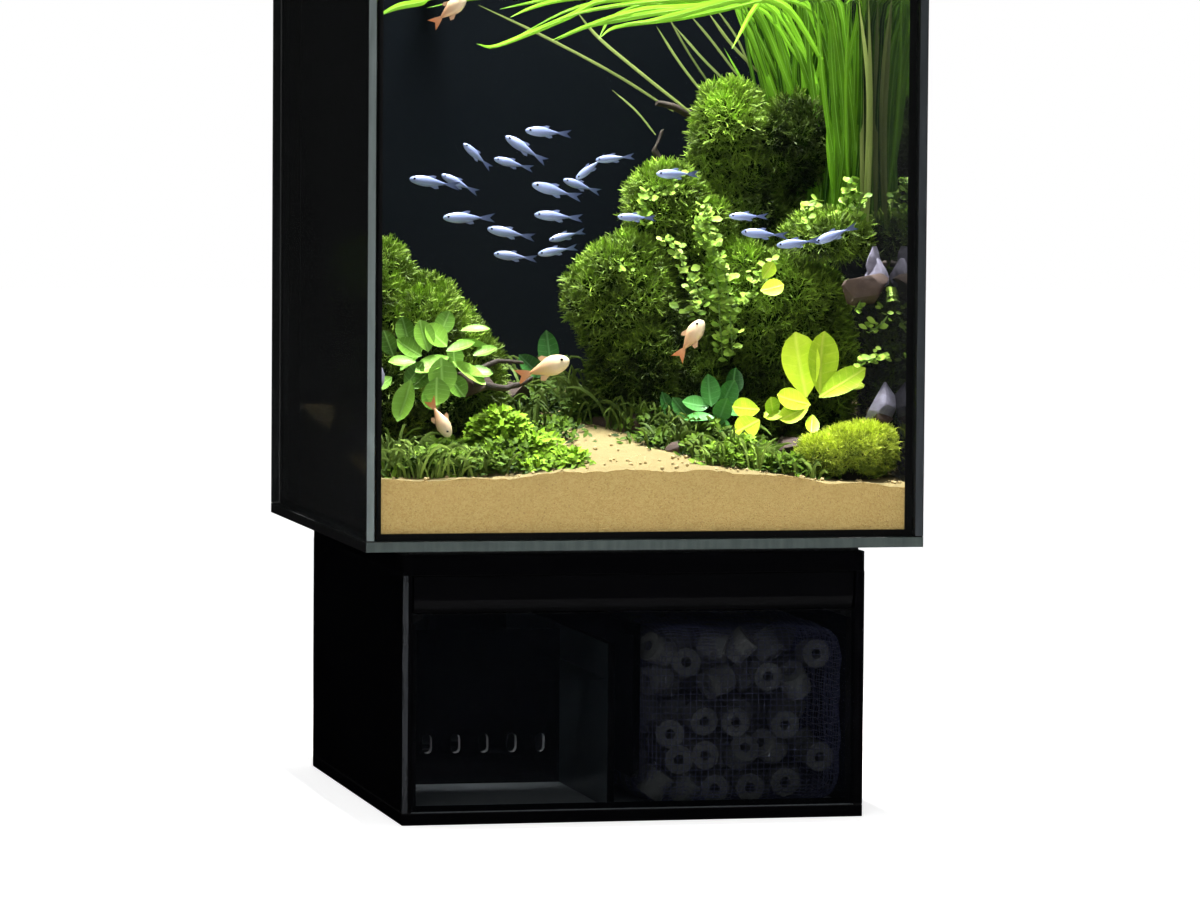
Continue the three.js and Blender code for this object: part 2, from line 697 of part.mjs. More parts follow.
function buildPump() {
  const group = new THREE.Group();
  group.position.set(returnX - voluteLength / 2, pipeY - outletOffset, pumpAxisZ);
  const volute = pumpVolute();
  // The casing is drawn with its outlet up the page; the page's height becomes Z and its face looks to +X.
  const upright = new THREE.Matrix4().set(0, 0, 1, 0, 1, 0, 0, 0, 0, 1, 0, 0, 0, 0, 0, 1);
  volute.applyMatrix4(upright);
  addPart(group, 'pump_volute', volute, blackPlastic);

  const motor = layAlongX(pumpMotor());
  addPart(group, 'pump_motor', join(motor, pumpGland(), ...pumpFoot()), blackPlastic);
  addPart(group, 'pump_rotor', layAlongX(pumpRotor()), ferrite);

  const rearBush = tube(pumpWellRadius - fitGap, shaftRadius + fitGap, bushLength);
  addPart(group, 'rear_bush', layAlongX(rearBush), blackSilicone, -pumpWellDepth);
  const frontBush = tube(frontBushRadius, shaftRadius + fitGap, bushLength);
  addPart(group, 'front_bush', layAlongX(frontBush), blackSilicone, voluteLength - voluteWall);
  const shaftLength = pumpWellDepth + voluteLength - voluteWall + bushLength - 2;
  const shaft = layAlongX(rod(shaftRadius, shaftLength, 0, 0, 0, 12));
  addPart(group, 'pump_shaft', shaft, ceramic, 1 - pumpWellDepth);

  const coverX = voluteLength + fitGap;
  addPart(group, 'intake_cover', layAlongX(intakeCover()), blackPlastic, coverX);
  addPart(group, 'flow_dial', layAlongX(flowDial()), greyPipe, coverX + intakeCoverLength);

  const cupZ = -pumpMotorRadius - voluteWall - pumpCupHeight;
  cupPlaces().forEach(([x, y], index) => {
    addPart(group, `suction_cup_${index + 1}`, suctionCup(), blackSilicone, x, y, cupZ);
  });
  return group;
}

function buildHose() {
  const group = new THREE.Group();
  group.position.set(returnX, pipeY, 0);
  const bottom = outletTopZ - hoseCoverOnPump;
  const top = tankUnderside - returnTailLength + hoseCoverOnTail;
  const hose = tube(hoseDiameter / 2, hoseBore / 2, top - bottom);
  addPart(group, 'return_hose', hose, clearVinyl, 0, 0, bottom);
  return group;
}

// ---------------------------------------------------------------- tank

function tankFloor() {
  const shape = roundedRectangle(tankWidth, tankDepth, 0.5);
  shape.holes.push(roundHole(drainHoleDiameter, drainX, pipeY));
  shape.holes.push(roundHole(returnHoleDiameter, returnX, pipeY));
  return plate(shape, tankGlass, 12);
}

// The black wall in front of the overflow chamber: a comb of slots at water level and
// a notch that the return nozzle swings in.
function weirWall() {
  const chamfer = tankBead + fitGap;
  const notchLeft = returnX - nozzleNotchWidth / 2;
  const notchRight = returnX + nozzleNotchWidth / 2;
  const shape = outline([
    [chamfer - tankInsideX, tankGlass], [tankInsideX - chamfer, tankGlass],
    [tankInsideX, tankGlass + chamfer], [tankInsideX, coverSeat],
    [notchRight, coverSeat], [notchRight, nozzleNotchBottom],
    [notchLeft, nozzleNotchBottom], [notchLeft, coverSeat],
    [-tankInsideX, coverSeat], [-tankInsideX, tankGlass + chamfer],
  ]);
  const slots = [];
  const most = Math.floor((tankInsideX - 8) / weirSlotPitch);
  for (let index = -most; index <= most; index += 1) {
    const x = index * weirSlotPitch;
    const clearOfNotch = Math.abs(x - returnX) > nozzleNotchWidth / 2 + weirSlotPitch;
    const z = weirSlotBottom + weirSlotHeight / 2;
    if (clearOfNotch) slots.push(box(weirSlotWidth, 3 * weirWallThickness, weirSlotHeight, x, 0, z));
  }
  return cut(alongY(shape, weirWallThickness), ...slots);
}

function buildTank() {
  const group = new THREE.Group();
  group.position.z = tankUnderside;
  const paneHeight = tankHeight - tankGlass;
  const paneZ = tankGlass + paneHeight / 2;
  addPart(group, 'tank_floor', tankFloor(), clearGlass);
  for (const [name, side] of [['tank_left_pane', -1], ['tank_right_pane', 1]]) {
    const pane = box(tankGlass, tankDepth, paneHeight);
    addPart(group, name, pane, darkGlass, side * (tankWidth - tankGlass) / 2, 0, paneZ);
  }
  for (const [name, side, glass] of [['tank_front_pane', -1, clearGlass], ['tank_back_pane', 1, darkGlass]]) {
    const pane = box(2 * tankInsideX, tankGlass, paneHeight);
    addPart(group, name, pane, glass, 0, side * (tankDepth - tankGlass) / 2, paneZ);
  }
  const beadHeight = coverSeat - coverLedgeHeight - tankGlass - fitGap;
  const beads = cornerBeads(tankInsideX, tankInsideY, beadHeight, tankBead);
  addPart(group, 'tank_silicone', beads, blackSilicone, 0, 0, tankGlass);
  addPart(group, 'weir_wall', weirWall(), blackAcrylic, 0, weirWallBackY - weirWallThickness / 2);
  return group;
}

// ---------------------------------------------------------------- drain and return pipes

function hexNut(flats, height, boreDiameter) {
  const corner = flats / 2 / Math.cos(Math.PI / 6);
  const corners = [0, 1, 2, 3, 4, 5].map((index) => {
    const angle = index * Math.PI / 3;
    return [corner * Math.cos(angle), corner * Math.sin(angle)];
  });
  const shape = outline(corners);
  shape.holes.push(roundHole(boreDiameter, 0, 0));
  return plate(shape, height, 12);
}

// A slotted dome that keeps leaves and snails out of the drain.
function strainer() {
  const outer = strainerDiameter / 2;
  const inner = outer - strainerWall;
  const socket = drainPipeDiameter / 2 + fitGap;
  const collar = 8;
  const roof = strainerHeight - strainerWall;
  const inside = [[0, roof], [inner - 3.5, roof - 1.5], [inner, roof - 5.5], [inner, collar + 1],
    [socket, collar + 1]];
  const outside = [[socket, 0], [socket + strainerWall, 0], [outer, collar], [outer, strainerHeight - 6],
    [outer - 4, strainerHeight - 1.5], [0, strainerHeight]];
  const dome = turned([...inside, ...outside]);
  const slots = [];
  for (let slot = 0; slot < strainerSlots; slot += 1) {
    const angle = (slot + 0.5) * 2 * Math.PI / strainerSlots;
    const middle = (strainerHeight + collar - 3) / 2;
    const slotHeight = strainerHeight - collar - 9;
    const cutter = box(3 * strainerWall, strainerSlotWidth, slotHeight, outer - strainerWall, 0, middle);
    slots.push(cutter.rotateZ(angle));
  }
  return cut(dome, ...slots);
}

function buildDrain() {
  const group = new THREE.Group();
  group.position.set(drainX, pipeY, tankUnderside);
  const body = drainBodyDiameter / 2;
  const socket = drainPipeDiameter / 2 + fitGap;
  const bore = drainPipeBore / 2;
  const tail = deckThickness + matThickness - 1;
  const flangeZ = tankGlass + gasketThickness;
  const pipeSeat = 2;
  addPart(group, 'drain_bulkhead', turned([
    [bore, -tail], [body, -tail], [body, flangeZ], [drainFlangeDiameter / 2, flangeZ],
    [drainFlangeDiameter / 2 - 1, flangeZ + flangeThickness], [socket, flangeZ + flangeThickness],
    [socket, pipeSeat], [bore, pipeSeat],
  ]), greyPipe);
  const gasket = tube(drainFlangeDiameter / 2 - 0.5, body + fitGap, gasketThickness);
  addPart(group, 'drain_gasket', gasket, blackSilicone, 0, 0, tankGlass);
  const nut = hexNut(drainNutFlats, drainNutHeight, drainHoleDiameter);
  addPart(group, 'drain_nut', nut, greyPipe, 0, 0, -drainNutHeight);
  const pipe = tube(drainPipeDiameter / 2, bore, drainPipeTop - pipeSeat);
  addPart(group, 'drain_standpipe', pipe, greyPipe, 0, 0, pipeSeat);
  addPart(group, 'drain_strainer', strainer(), blackPlastic, 0, 0, drainPipeTop - 8);
  return group;
}

// Centre line of the nozzle: up out of the riser, round a bend and forward over the weir wall.
function nozzleRoute(startZ) {
  const route = new THREE.CurvePath();
  const corner = new THREE.Vector3(0, 0, nozzleBend);
  const bendStart = new THREE.Vector3(0, 0, 0);
  const bendEnd = new THREE.Vector3(0, -nozzleBend, nozzleBend);
  route.add(new THREE.LineCurve3(new THREE.Vector3(0, 0, startZ), bendStart));
  route.add(new THREE.QuadraticBezierCurve3(bendStart, corner, bendEnd));
  route.add(new THREE.LineCurve3(bendEnd, new THREE.Vector3(0, -nozzleReach, nozzleBend)));
  return route;
}

function bentRod(radius, route, steps) {
  const section = new THREE.Shape().absarc(0, 0, radius, 0, 2 * Math.PI);
  return new THREE.ExtrudeGeometry(section, { steps, extrudePath: route, curveSegments: 6 });
}

function returnNozzle() {
  const pipe = bentRod(nozzleDiameter / 2, nozzleRoute(-nozzleSpigot), nozzleSteps);
  const collar = rod(nozzleCollarDiameter / 2, nozzleCollarHeight, 0, 0, fitGap);
  const bore = bentRod(nozzleBore / 2, nozzleRoute(-nozzleSpigot - 1), nozzleSteps);
  const mouth = box(nozzleDiameter + 2, 3, nozzleDiameter + 2, 0, -nozzleReach, nozzleBend);
  const lowMouth = rod(nozzleBore / 2, 3, 0, 0, -nozzleSpigot - 1);
  return cut(join(pipe, collar), bore, mouth, lowMouth);
}

function buildReturn() {
  const group = new THREE.Group();
  group.position.set(returnX, pipeY, tankUnderside);
  const body = returnBodyDiameter / 2;
  const socket = returnPipeDiameter / 2 + fitGap;
  const bore = returnTailBore / 2;
  const barb = returnTailDiameter / 2;
  const flangeZ = tankGlass + gasketThickness;
  const threadEnd = -returnNutHeight - 1.5;
  const pipeSeat = 1;
  addPart(group, 'return_bulkhead', turned([
    [bore, -returnTailLength], [barb - 0.6, -returnTailLength], [barb, 3 - returnTailLength],
    [barb, threadEnd], [body, threadEnd], [body, flangeZ], [returnFlangeDiameter / 2, flangeZ],
    [returnFlangeDiameter / 2 - 1, flangeZ + flangeThickness], [socket, flangeZ + flangeThickness],
    [socket, pipeSeat], [bore, pipeSeat],
  ]), greyPipe);
  const gasket = tube(returnFlangeDiameter / 2 - 0.5, body + fitGap, gasketThickness);
  addPart(group, 'return_gasket', gasket, blackSilicone, 0, 0, tankGlass);
  const nut = hexNut(returnNutFlats, returnNutHeight, returnHoleDiameter);
  addPart(group, 'return_nut', nut, greyPipe, 0, 0, -returnNutHeight);
  const riser = tube(returnPipeDiameter / 2, returnPipeBore / 2, returnPipeTop - pipeSeat);
  addPart(group, 'return_riser', riser, greyPipe, 0, 0, pipeSeat);
  addPart(group, 'return_nozzle', returnNozzle(), blackPlastic, 0, 0, returnPipeTop);
  return group;
}

// ---------------------------------------------------------------- lid, clips and chamber cover

const lidHalfWidth = tankInsideX - clipThickness - 2 * fitGap;
const lidFrontY = lidGap - tankInsideY;
const coverFrontY = weirWallFrontY + fitGap;
const lidBackY = coverFrontY - lidGap;
const clipPlaces = [['front', lidFrontY + clipFromLidFront], ['rear', lidBackY - clipFromLidBack]];

// A bent clip over the rim, with a ledge that the lid lies on.
function lidClip(side) {
  const inner = tankInsideX - fitGap;
  const outer = tankWidth / 2 + fitGap;
  const rim = tankHeight + fitGap;
  const ledge = lidUnderside;
  const t = clipThickness;
  const points = [
    [outer, rim - clipOuterLeg], [outer + t, rim - clipOuterLeg], [outer + t, rim + t], [inner - t, rim + t],
    [inner - t, ledge], [inner - clipLedge, ledge], [inner - clipLedge, ledge - t], [inner, ledge - t],
    [inner, rim], [outer, rim],
  ].map(([x, z]) => [side * x, z]);
  return alongY(outline(points), clipLength);
}

function buildCovers() {
  const group = new THREE.Group();
  group.position.z = tankUnderside;
  const lid = outline([
    [-lidHalfWidth, lidFrontY], [lidHalfWidth - lidCornerCut, lidFrontY],
    [lidHalfWidth, lidFrontY + lidCornerCut], [lidHalfWidth, lidBackY], [-lidHalfWidth, lidBackY],
  ]);
  addPart(group, 'lid_glass', plate(lid, lidThickness), clearGlass, 0, 0, lidUnderside);
  const grip = new THREE.Shape();
  grip.moveTo(-handleDepth / 2, 0);
  grip.lineTo(handleDepth / 2, 0);
  grip.lineTo(handleDepth / 2 - 2.5, handleHeight * 0.4);
  grip.absarc(0, handleHeight - 3, 3, 0, Math.PI);
  grip.lineTo(2.5 - handleDepth / 2, handleHeight * 0.4);
  const handleY = lidFrontY + 24;
  const handle = alongX(grip, handleWidth);
  addPart(group, 'lid_handle', handle, clearPlastic, 0, handleY, lidUnderside + lidThickness);
  for (const [sideName, side] of [['left', -1], ['right', 1]]) {
    for (const [place, y] of clipPlaces) {
      addPart(group, `${sideName}_${place}_clip`, lidClip(side), clearPlastic, 0, y);
    }
  }
  const coverDepth = tankInsideY - 2 * fitGap - coverFrontY;
  const cover = roundedRectangle(2 * (tankInsideX - 2 * fitGap), coverDepth, 2);
  cover.holes.push(roundHole(coverFingerHole, 0, 0));
  const coverY = coverFrontY + coverDepth / 2;
  addPart(group, 'chamber_cover', plate(cover, lidThickness), blackAcrylic, 0, coverY, lidUnderside);
  const ledge = box(coverLedgeLength, coverLedgeDepth, coverLedgeHeight);
  const ledgeY = tankInsideY - coverLedgeDepth / 2;
  addPart(group, 'cover_ledge', ledge, blackAcrylic, 0, ledgeY, coverSeat - coverLedgeHeight / 2);
  return group;
}

// ---------------------------------------------------------------- sand and stones

// Height of the sand: a low hump in the middle, higher at the back.
function sandHeight(x, y) {
  const back = (y + tankInsideY) / (weirWallFrontY + tankInsideY);
  const across = x / tankInsideX;
  const hump = sandHump * Math.exp(-(((across + 0.08) / 0.5) ** 2));
  const dip = 1.5 * Math.sin(5 * across + 2.5 * back);
  return tankGlass + sandFront + hump * (1 - 0.5 * back) + dip + sandRise * back ** 1.3;
}

function sandBlock(extra) {
  const width = 2 * (tankInsideX - sandGap);
  const depth = weirWallFrontY + tankInsideY - 2 * sandGap;
  const middleY = (weirWallFrontY - tankInsideY) / 2;
  const block = new THREE.BoxGeometry(width, depth, 1, sandColumns, sandRows, 1).translate(0, middleY, 0);
  const places = block.attributes.position;
  for (let index = 0; index < places.count; index += 1) {
    const top = sandHeight(places.getX(index), places.getY(index)) + extra;
    places.setZ(index, places.getZ(index) > 0 ? top : tankGlass);
  }
  return block;
}

function sandBed() {
  const leg = tankBead + 2 * sandGap;
  const beads = cornerBeads(tankInsideX, tankInsideY, tankHeight, leg).translate(0, 0, tankGlass);
  return cut(sandBlock(0), beads);
}

// One rough lobe of a stone, about a place in the tank.
function lobe([x, y, z], [radiusX, radiusY, radiusZ], seed) {
  const geometry = new THREE.IcosahedronGeometry(1, 2);
  const places = geometry.attributes.position;
  const point = new THREE.Vector3();
  for (let index = 0; index < places.count; index += 1) {
    point.fromBufferAttribute(places, index);
    const ripple = Math.sin(3.1 * point.x + seed) + Math.sin(4.3 * point.y + 1.7 * seed)
      + Math.sin(3.7 * point.z + 2.3 * seed);
    point.multiplyScalar(1 + 0.05 * ripple);
    places.setXYZ(index, point.x * radiusX, point.y * radiusY, point.z * radiusZ);
  }
  return geometry.translate(x, y, z);
}

// A stone of several lobes, its underside bedded on the sand and its sides clear of the panes.
// Each lobe's place and radii are shares of the stone's width, depth and height.
function stone([x, y, z], [width, depth, height], lobes) {
  const parts = lobes.map(([place, radii, seed]) => lobe(
    [x + place[0] * width, y + place[1] * depth, z + place[2] * height],
    [radii[0] * width, radii[1] * depth, radii[2] * height], seed));
  const room = box(2 * (tankInsideX - stoneGap), weirWallFrontY + tankInsideY - 2 * stoneGap,
    2 * tankHeight, 0, (weirWallFrontY - tankInsideY) / 2, 0);
  const buriedTop = tankGlass + sandFront / 2;
  const buried = box(2 * tankWidth, 2 * tankDepth, tankHeight, 0, 0, buriedTop - tankHeight / 2);
  const above = toSolid(join(...parts)).intersect(toSolid(room)).subtract(toSolid(sandBlock(sandGap)));
  return toGeometry(above.subtract(toSolid(buried)));
}

function buildHardscape() {
  const group = new THREE.Group();
  group.position.z = tankUnderside;
  addPart(group, 'sand_bed', sandBed(), sand);
  const rightMiddle = [tankInsideX - rightStoneWidth / 2, weirWallFrontY - rightStoneFromBack, tankGlass];
  const rightSize = [rightStoneWidth, rightStoneDepth, rightStoneHeight];
  addPart(group, 'right_moss_stone', stone(rightMiddle, rightSize, [
    [[0.11, 0.17, 0.87], [0.29, 0.29, 0.28], 1],
    [[-0.2, 0.07, 0.64], [0.32, 0.33, 0.25], 2],
    [[0.21, -0.08, 0.5], [0.27, 0.4, 0.29], 3],
    [[-0.04, -0.02, 0.37], [0.36, 0.35, 0.23], 4],
  ]), stoneGrey);
  const leftMiddle = [leftStoneWidth / 2 - tankInsideX, weirWallFrontY - leftStoneFromBack, tankGlass];
  addPart(group, 'left_moss_stone', stone(leftMiddle, [leftStoneWidth, leftStoneDepth, leftStoneHeight], [
    [[-0.22, 0.04, 0.82], [0.31, 0.5, 0.45], 5],
    [[0.12, -0.04, 0.55], [0.38, 0.42, 0.35], 6],
  ]), stoneGrey);
  const cushionMiddle = [
    tankInsideX - cushionStoneFromRight, cushionStoneFromFront - tankInsideY, tankGlass + cushionStoneBed,
  ];
  const cushionSize = [cushionStoneWidth, cushionStoneDepth, cushionStoneHeight];
  addPart(group, 'cushion_stone', stone(cushionMiddle, cushionSize, [
    [[0, 0, 0], [0.5, 0.5, 0.5], 7],
  ]), stoneGrey);
  return group;
}

// ---------------------------------------------------------------- assembly

const aquarium = new THREE.Group();
aquarium.add(
  buildStand(), buildMediaBag(), buildDrawer(), buildPump(), buildHose(),
  buildTank(), buildDrain(), buildReturn(), buildCovers(), buildHardscape(),
);

export default aquarium;
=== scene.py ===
import json
import math

import bmesh
import bpy
import numpy as np
from mathutils import Matrix, Vector
from mathutils.bvhtree import BVHTree

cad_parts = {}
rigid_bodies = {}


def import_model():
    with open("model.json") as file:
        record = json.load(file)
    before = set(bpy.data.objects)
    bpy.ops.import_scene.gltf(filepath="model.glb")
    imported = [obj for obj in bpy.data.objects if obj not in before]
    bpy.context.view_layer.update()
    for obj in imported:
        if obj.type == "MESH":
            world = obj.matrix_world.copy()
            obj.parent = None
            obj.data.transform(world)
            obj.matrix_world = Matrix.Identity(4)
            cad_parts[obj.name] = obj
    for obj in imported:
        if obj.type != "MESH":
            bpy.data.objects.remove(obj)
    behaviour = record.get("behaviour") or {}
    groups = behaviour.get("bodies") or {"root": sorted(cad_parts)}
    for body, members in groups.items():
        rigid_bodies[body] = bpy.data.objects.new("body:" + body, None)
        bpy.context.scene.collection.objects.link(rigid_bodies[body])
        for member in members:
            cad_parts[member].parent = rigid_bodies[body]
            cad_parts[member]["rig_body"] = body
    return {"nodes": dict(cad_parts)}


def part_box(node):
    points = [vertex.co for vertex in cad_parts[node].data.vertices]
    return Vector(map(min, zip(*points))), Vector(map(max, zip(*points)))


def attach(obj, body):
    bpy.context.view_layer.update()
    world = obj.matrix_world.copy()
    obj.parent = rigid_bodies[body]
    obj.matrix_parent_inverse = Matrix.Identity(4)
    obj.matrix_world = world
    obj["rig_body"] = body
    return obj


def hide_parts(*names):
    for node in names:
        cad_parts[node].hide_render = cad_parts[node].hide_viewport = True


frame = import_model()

bl_info = {
    "name": "Planted Aquarium on Filter Stand",
    "version": (1, 0, 0),
    "blender": (4, 5, 0),
    "location": "View3D > Sidebar > Aquarium",
    "description": "Builds the panes, planting, fish and filter media around the tank's frame",
    "category": "Object",
}

MM = 0.001
UP = Vector((0, 0, 1))
# Where each piece's row of random draws starts.
SEEDS = {
    "sand": 20, "right_mound_moss": 11, "left_mound_moss": 12, "cushion_moss": 13, "eelgrass": 31,
    "small_leaves": 51, "twigs": 61, "fish": 71, "rings": 81, "wool": 91,
}


def draws(name):
    """A piece's random numbers, the same in every run."""
    return np.random.default_rng(SEEDS[name])


# ------------------------------------------------------------------ places read from the frame

def low(node):
    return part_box(node)[0]


def high(node):
    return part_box(node)[1]


INSIDE_LEFT = high("tank_left_pane").x
INSIDE_RIGHT = low("tank_right_pane").x
INSIDE_FRONT = high("tank_front_pane").y
WALL_Y = low("weir_wall").y
GLASS_FLOOR = high("tank_floor").z
RIM = high("tank_front_pane").z
WATER_LEVEL = RIM - 17 * MM
SUMP_LEVEL = high("over_baffle").z - 15 * MM


def node_tree_of_faces(name):
    """A search tree over a CAD node's faces."""
    mesh = frame["nodes"][name].data
    points = [vertex.co for vertex in mesh.vertices]
    return BVHTree.FromPolygons(points, [list(face.vertices) for face in mesh.polygons])


SAND_FACES = node_tree_of_faces("sand_bed")
# Steps to each side over which the CAD bed's facets are averaged away.
BLUR = [-5 * MM, 0.0, 5 * MM]
# How steeply the sand may rise behind its front line.
SAND_RISE = 0.22
# The sand's line against the front pane: across, and up, in millimetres.
SAND_LINE = (
    (-108, -80, -47, -5, 22, 47, 66, 77, 108),
    (141.0, 142.4, 143.7, 143.5, 143.3, 141.9, 140.2, 138.3, 136.2),
)


def sand_height(x, y):
    """The sand's top at a place in plan: the CAD bed without its facets, falling to its front line."""
    margin = 5 * MM
    total = 0.0
    for step_x in BLUR:
        for step_y in BLUR:
            at_x = min(max(x + step_x, INSIDE_LEFT + margin), INSIDE_RIGHT - margin)
            at_y = min(max(y + step_y, INSIDE_FRONT + margin), WALL_Y - margin)
            hit = SAND_FACES.ray_cast(Vector((at_x, at_y, RIM)), -UP)[0]
            total += hit.z if hit else GLASS_FLOOR
    line = float(np.interp(x / MM, *SAND_LINE)) * MM
    return min(total / len(BLUR) ** 2, line + SAND_RISE * (y - INSIDE_FRONT))


# ------------------------------------------------------------------ colours and nodes

def colour(code):
    """A hex sRGB colour as linear red, green, blue and alpha."""
    parts = [int(code[start:start + 2], 16) / 255 for start in (1, 3, 5)]
    linear = [part / 12.92 if part <= 0.04045 else ((part + 0.055) / 1.055) ** 2.4 for part in parts]
    return (*linear, 1.0)


def per_mm(size):
    """The scale of a pattern whose features are this many millimetres across."""
    return 1000 / size


def add_node(tree, kind, inputs=None, **settings):
    """Adds a node with its settings; an input is a value, or another node's output to link."""
    node = tree.nodes.new(kind)
    for name, value in settings.items():
        setattr(node, name, value)
    for name, value in (inputs or {}).items():
        if isinstance(value, bpy.types.NodeSocket):
            tree.links.new(value, node.inputs[name])
        else:
            node.inputs[name].default_value = value
    return node


def new_finish(name, **sockets):
    """A material with one Principled shader; returns the material, its tree and the shader."""
    material = bpy.data.materials.new(name)
    material.use_nodes = True
    tree = material.node_tree
    tree.nodes.clear()
    shader = add_node(tree, "ShaderNodeBsdfPrincipled")
    for socket, value in sockets.items():
        shader.inputs[socket.replace("_", " ")].default_value = value
    output = add_node(tree, "ShaderNodeOutputMaterial")
    tree.links.new(shader.outputs[0], output.inputs[0])
    return material, tree, shader


def own_place(tree):
    """The piece's own coordinates, in metres."""
    return add_node(tree, "ShaderNodeTexCoord").outputs["Object"]


def mixed(tree, factor, first, second):
    """A colour between two colours."""
    return add_node(tree, "ShaderNodeMix", {0: factor, 6: first, 7: second}, data_type="RGBA").outputs[2]


def dimmed(base, share):
    """A colour with only a share of its light."""
    return (*[part * share for part in base[:3]], 1)


def carried(tree, name):
    """A value that the mesh carries at each point."""
    return add_node(tree, "ShaderNodeAttribute", attribute_name=name).outputs["Fac"]


def maths(tree, operation, *values, **settings):
    """One operation on values and other nodes' outputs."""
    node = add_node(tree, "ShaderNodeMath", dict(enumerate(values)), operation=operation, **settings)
    return node.outputs[0]


def span(tree, value, **limits):
    """A value brought from one span to another; both run from 0 to 1 where no limit is given."""
    inputs = {name.replace("_", " ").title(): limit for name, limit in limits.items()}
    return add_node(tree, "ShaderNodeMapRange", {"Value": value, **inputs}).outputs[0]


def noise(tree, place, across, detail, distortion=0.0):
    """Cloudy noise whose features are this many millimetres across."""
    inputs = {"Vector": place, "Scale": per_mm(across), "Detail": detail, "Distortion": distortion}
    return add_node(tree, "ShaderNodeTexNoise", inputs).outputs[0]


def cells(tree, place, across):
    """The node of a pattern of cells this many millimetres across."""
    return add_node(tree, "ShaderNodeTexVoronoi", {"Vector": place, "Scale": per_mm(across)})


def paint(tree, shader, tone):
    """Gives the surface its colour from another node's output."""
    tree.links.new(tone, shader.inputs["Base Color"])


def emboss(tree, shader, height, strength, depth):
    """Lets the light fall as if the surface rose with the height, over a depth in metres."""
    bump = add_node(tree, "ShaderNodeBump", {"Height": height, "Strength": strength, "Distance": depth})
    tree.links.new(bump.outputs[0], shader.inputs["Normal"])


# ------------------------------------------------------------------ settings

def size(name, note, value):
    return bpy.props.FloatProperty(name=name, description=note, default=value, min=0.0,
                                   unit="LENGTH", precision=5)


def count(name, note, value):
    return bpy.props.IntProperty(name=name, description=note, default=value, min=1)


def tint(name, note, code):
    return bpy.props.FloatVectorProperty(name=name, description=note, default=colour(code),
                                         size=4, subtype="COLOR", min=0.0, max=1.0)


class AquariumSizes(bpy.types.PropertyGroup):
    pane_edge: size("Pane edge", "Width of the ground edge on a glass pane", 0.5 * MM)
    panel_edge: size("Panel edge", "Width of the scraped edge on an acrylic panel", 0.35 * MM)
    sand_step: size("Sand step", "Spacing of the points that make the sand's top", 2.2 * MM)
    moss_bed: size("Moss bed", "How far the moss stands out from the stone under it", 2.6 * MM)
    moss_clump: size("Moss clump", "Radius of one clump of moss", 6.5 * MM)
    moss_frond: size("Moss frond", "Length of one frond of moss", 3.9 * MM)
    moss_right: count("Right moss fronds", "Fronds on the right mound", 54000)
    moss_left: count("Left moss fronds", "Fronds on the left mound", 18000)
    moss_cushion: count("Cushion moss fronds", "Fronds on the front cushion", 14000)
    blade_width: size("Blade width", "Width of a blade of eelgrass", 2.6 * MM)
    blades: count("Blades", "Blades in the stand of eelgrass", 150)
    fish_length: size("Fish length", "Length of one small schooling fish", 19 * MM)
    ring_outside: size("Ring outside", "Outside diameter of a ceramic ring", 12 * MM)
    ring_inside: size("Ring inside", "Bore of a ceramic ring", 4.6 * MM)
    ring_length: size("Ring length", "Length of a ceramic ring", 11 * MM)
    net_pitch: size("Net pitch", "Spacing of the net bag's strands", 2.6 * MM)
    net_strand: size("Net strand", "Thickness of the net bag's strands", 0.4 * MM)


class AquariumColours(bpy.types.PropertyGroup):
    black_panel: tint("Black panel", "Cast acrylic of the stand", "#030304")
    wall_blue: tint("Overflow wall", "Satin face of the overflow wall, seen through water", "#0a1016")
    smoked: tint("Smoked pane", "Smoked acrylic window of the stand", "#050608")
    # The glass edge colour is the glass's own greenish grey, made as light as a painted highlight: the
    # light that the lit edges gather.
    glass_edge: tint("Glass edge", "Polished edge of the glass panes", "#687170")
    sand_light: tint("Sand light", "Lighter grains", "#b69e60")
    sand_dark: tint("Sand dark", "Darker grains", "#a2874b")
    # Besides fresh tips and old growth, these two colours are the ends of the moss's painted light and
    # shade: lit fronds lean to the first, shaded ones to the second.
    moss_light: tint("Moss light", "Fresh tips of the moss", "#9cc43c")
    moss_dark: tint("Moss dark", "Old growth inside the moss", "#101c04")
    grass_light: tint("Eelgrass light", "Lit blades of eelgrass", "#94da30")
    grass_dark: tint("Eelgrass dark", "Shaded blades of eelgrass", "#103a04")
    leaf_bright: tint("Bright leaf", "Young yellow-green leaves", "#d0ec3a")
    leaf_dark: tint("Leaf dark", "Shaded blue-green leaves", "#123814")
    fish_silver: tint("Fish silver", "Lit flank of the small fish", "#a8b8e8")
    fish_blue: tint("Fish blue", "Tail end of the small fish", "#303e62")
    fish_cream: tint("Cream fish", "Body of the cream fish", "#e6d6b0")
    fish_orange: tint("Orange fish", "Tail and fins of the cream fish", "#cc7434")
    ceramic: tint("Ceramic", "Sintered filter rings", "#7c8183")
    net: tint("Net", "Strands of the media bag", "#666fa6")
    wool: tint("Filter wool", "Clean polyester wool", "#6f726b")


class StageSettings(bpy.types.PropertyGroup):
    lens: bpy.props.FloatProperty(name="Lens", description="Focal length of the view", default=163.97)
    eye: bpy.props.FloatVectorProperty(name="Eye", description="Where the view is from", size=3,
                                       subtype="TRANSLATION", unit="LENGTH",
                                       default=(-0.50415, -2.24226, 0.28083))
    turn: bpy.props.FloatProperty(name="Turn", description="How far the view turns to the right",
                                  default=0.223824, unit="ROTATION")
    dip: bpy.props.FloatProperty(name="Dip", description="How far the view looks down",
                                 default=0.058879, unit="ROTATION")
    tilt: bpy.props.FloatProperty(name="Tilt", description="How far the view leans",
                                  default=0.00751867, unit="ROTATION")
    lamp_power: bpy.props.FloatProperty(name="Tank lamp", description="Lamp above the tank",
                                        default=5.6, unit="POWER")
    sky: bpy.props.FloatProperty(name="Room light", description="Brightness of the white room",
                                 default=0.5, min=0.0)


# ------------------------------------------------------------------ working on meshes

def deselect():
    bpy.ops.object.select_all(action="DESELECT")


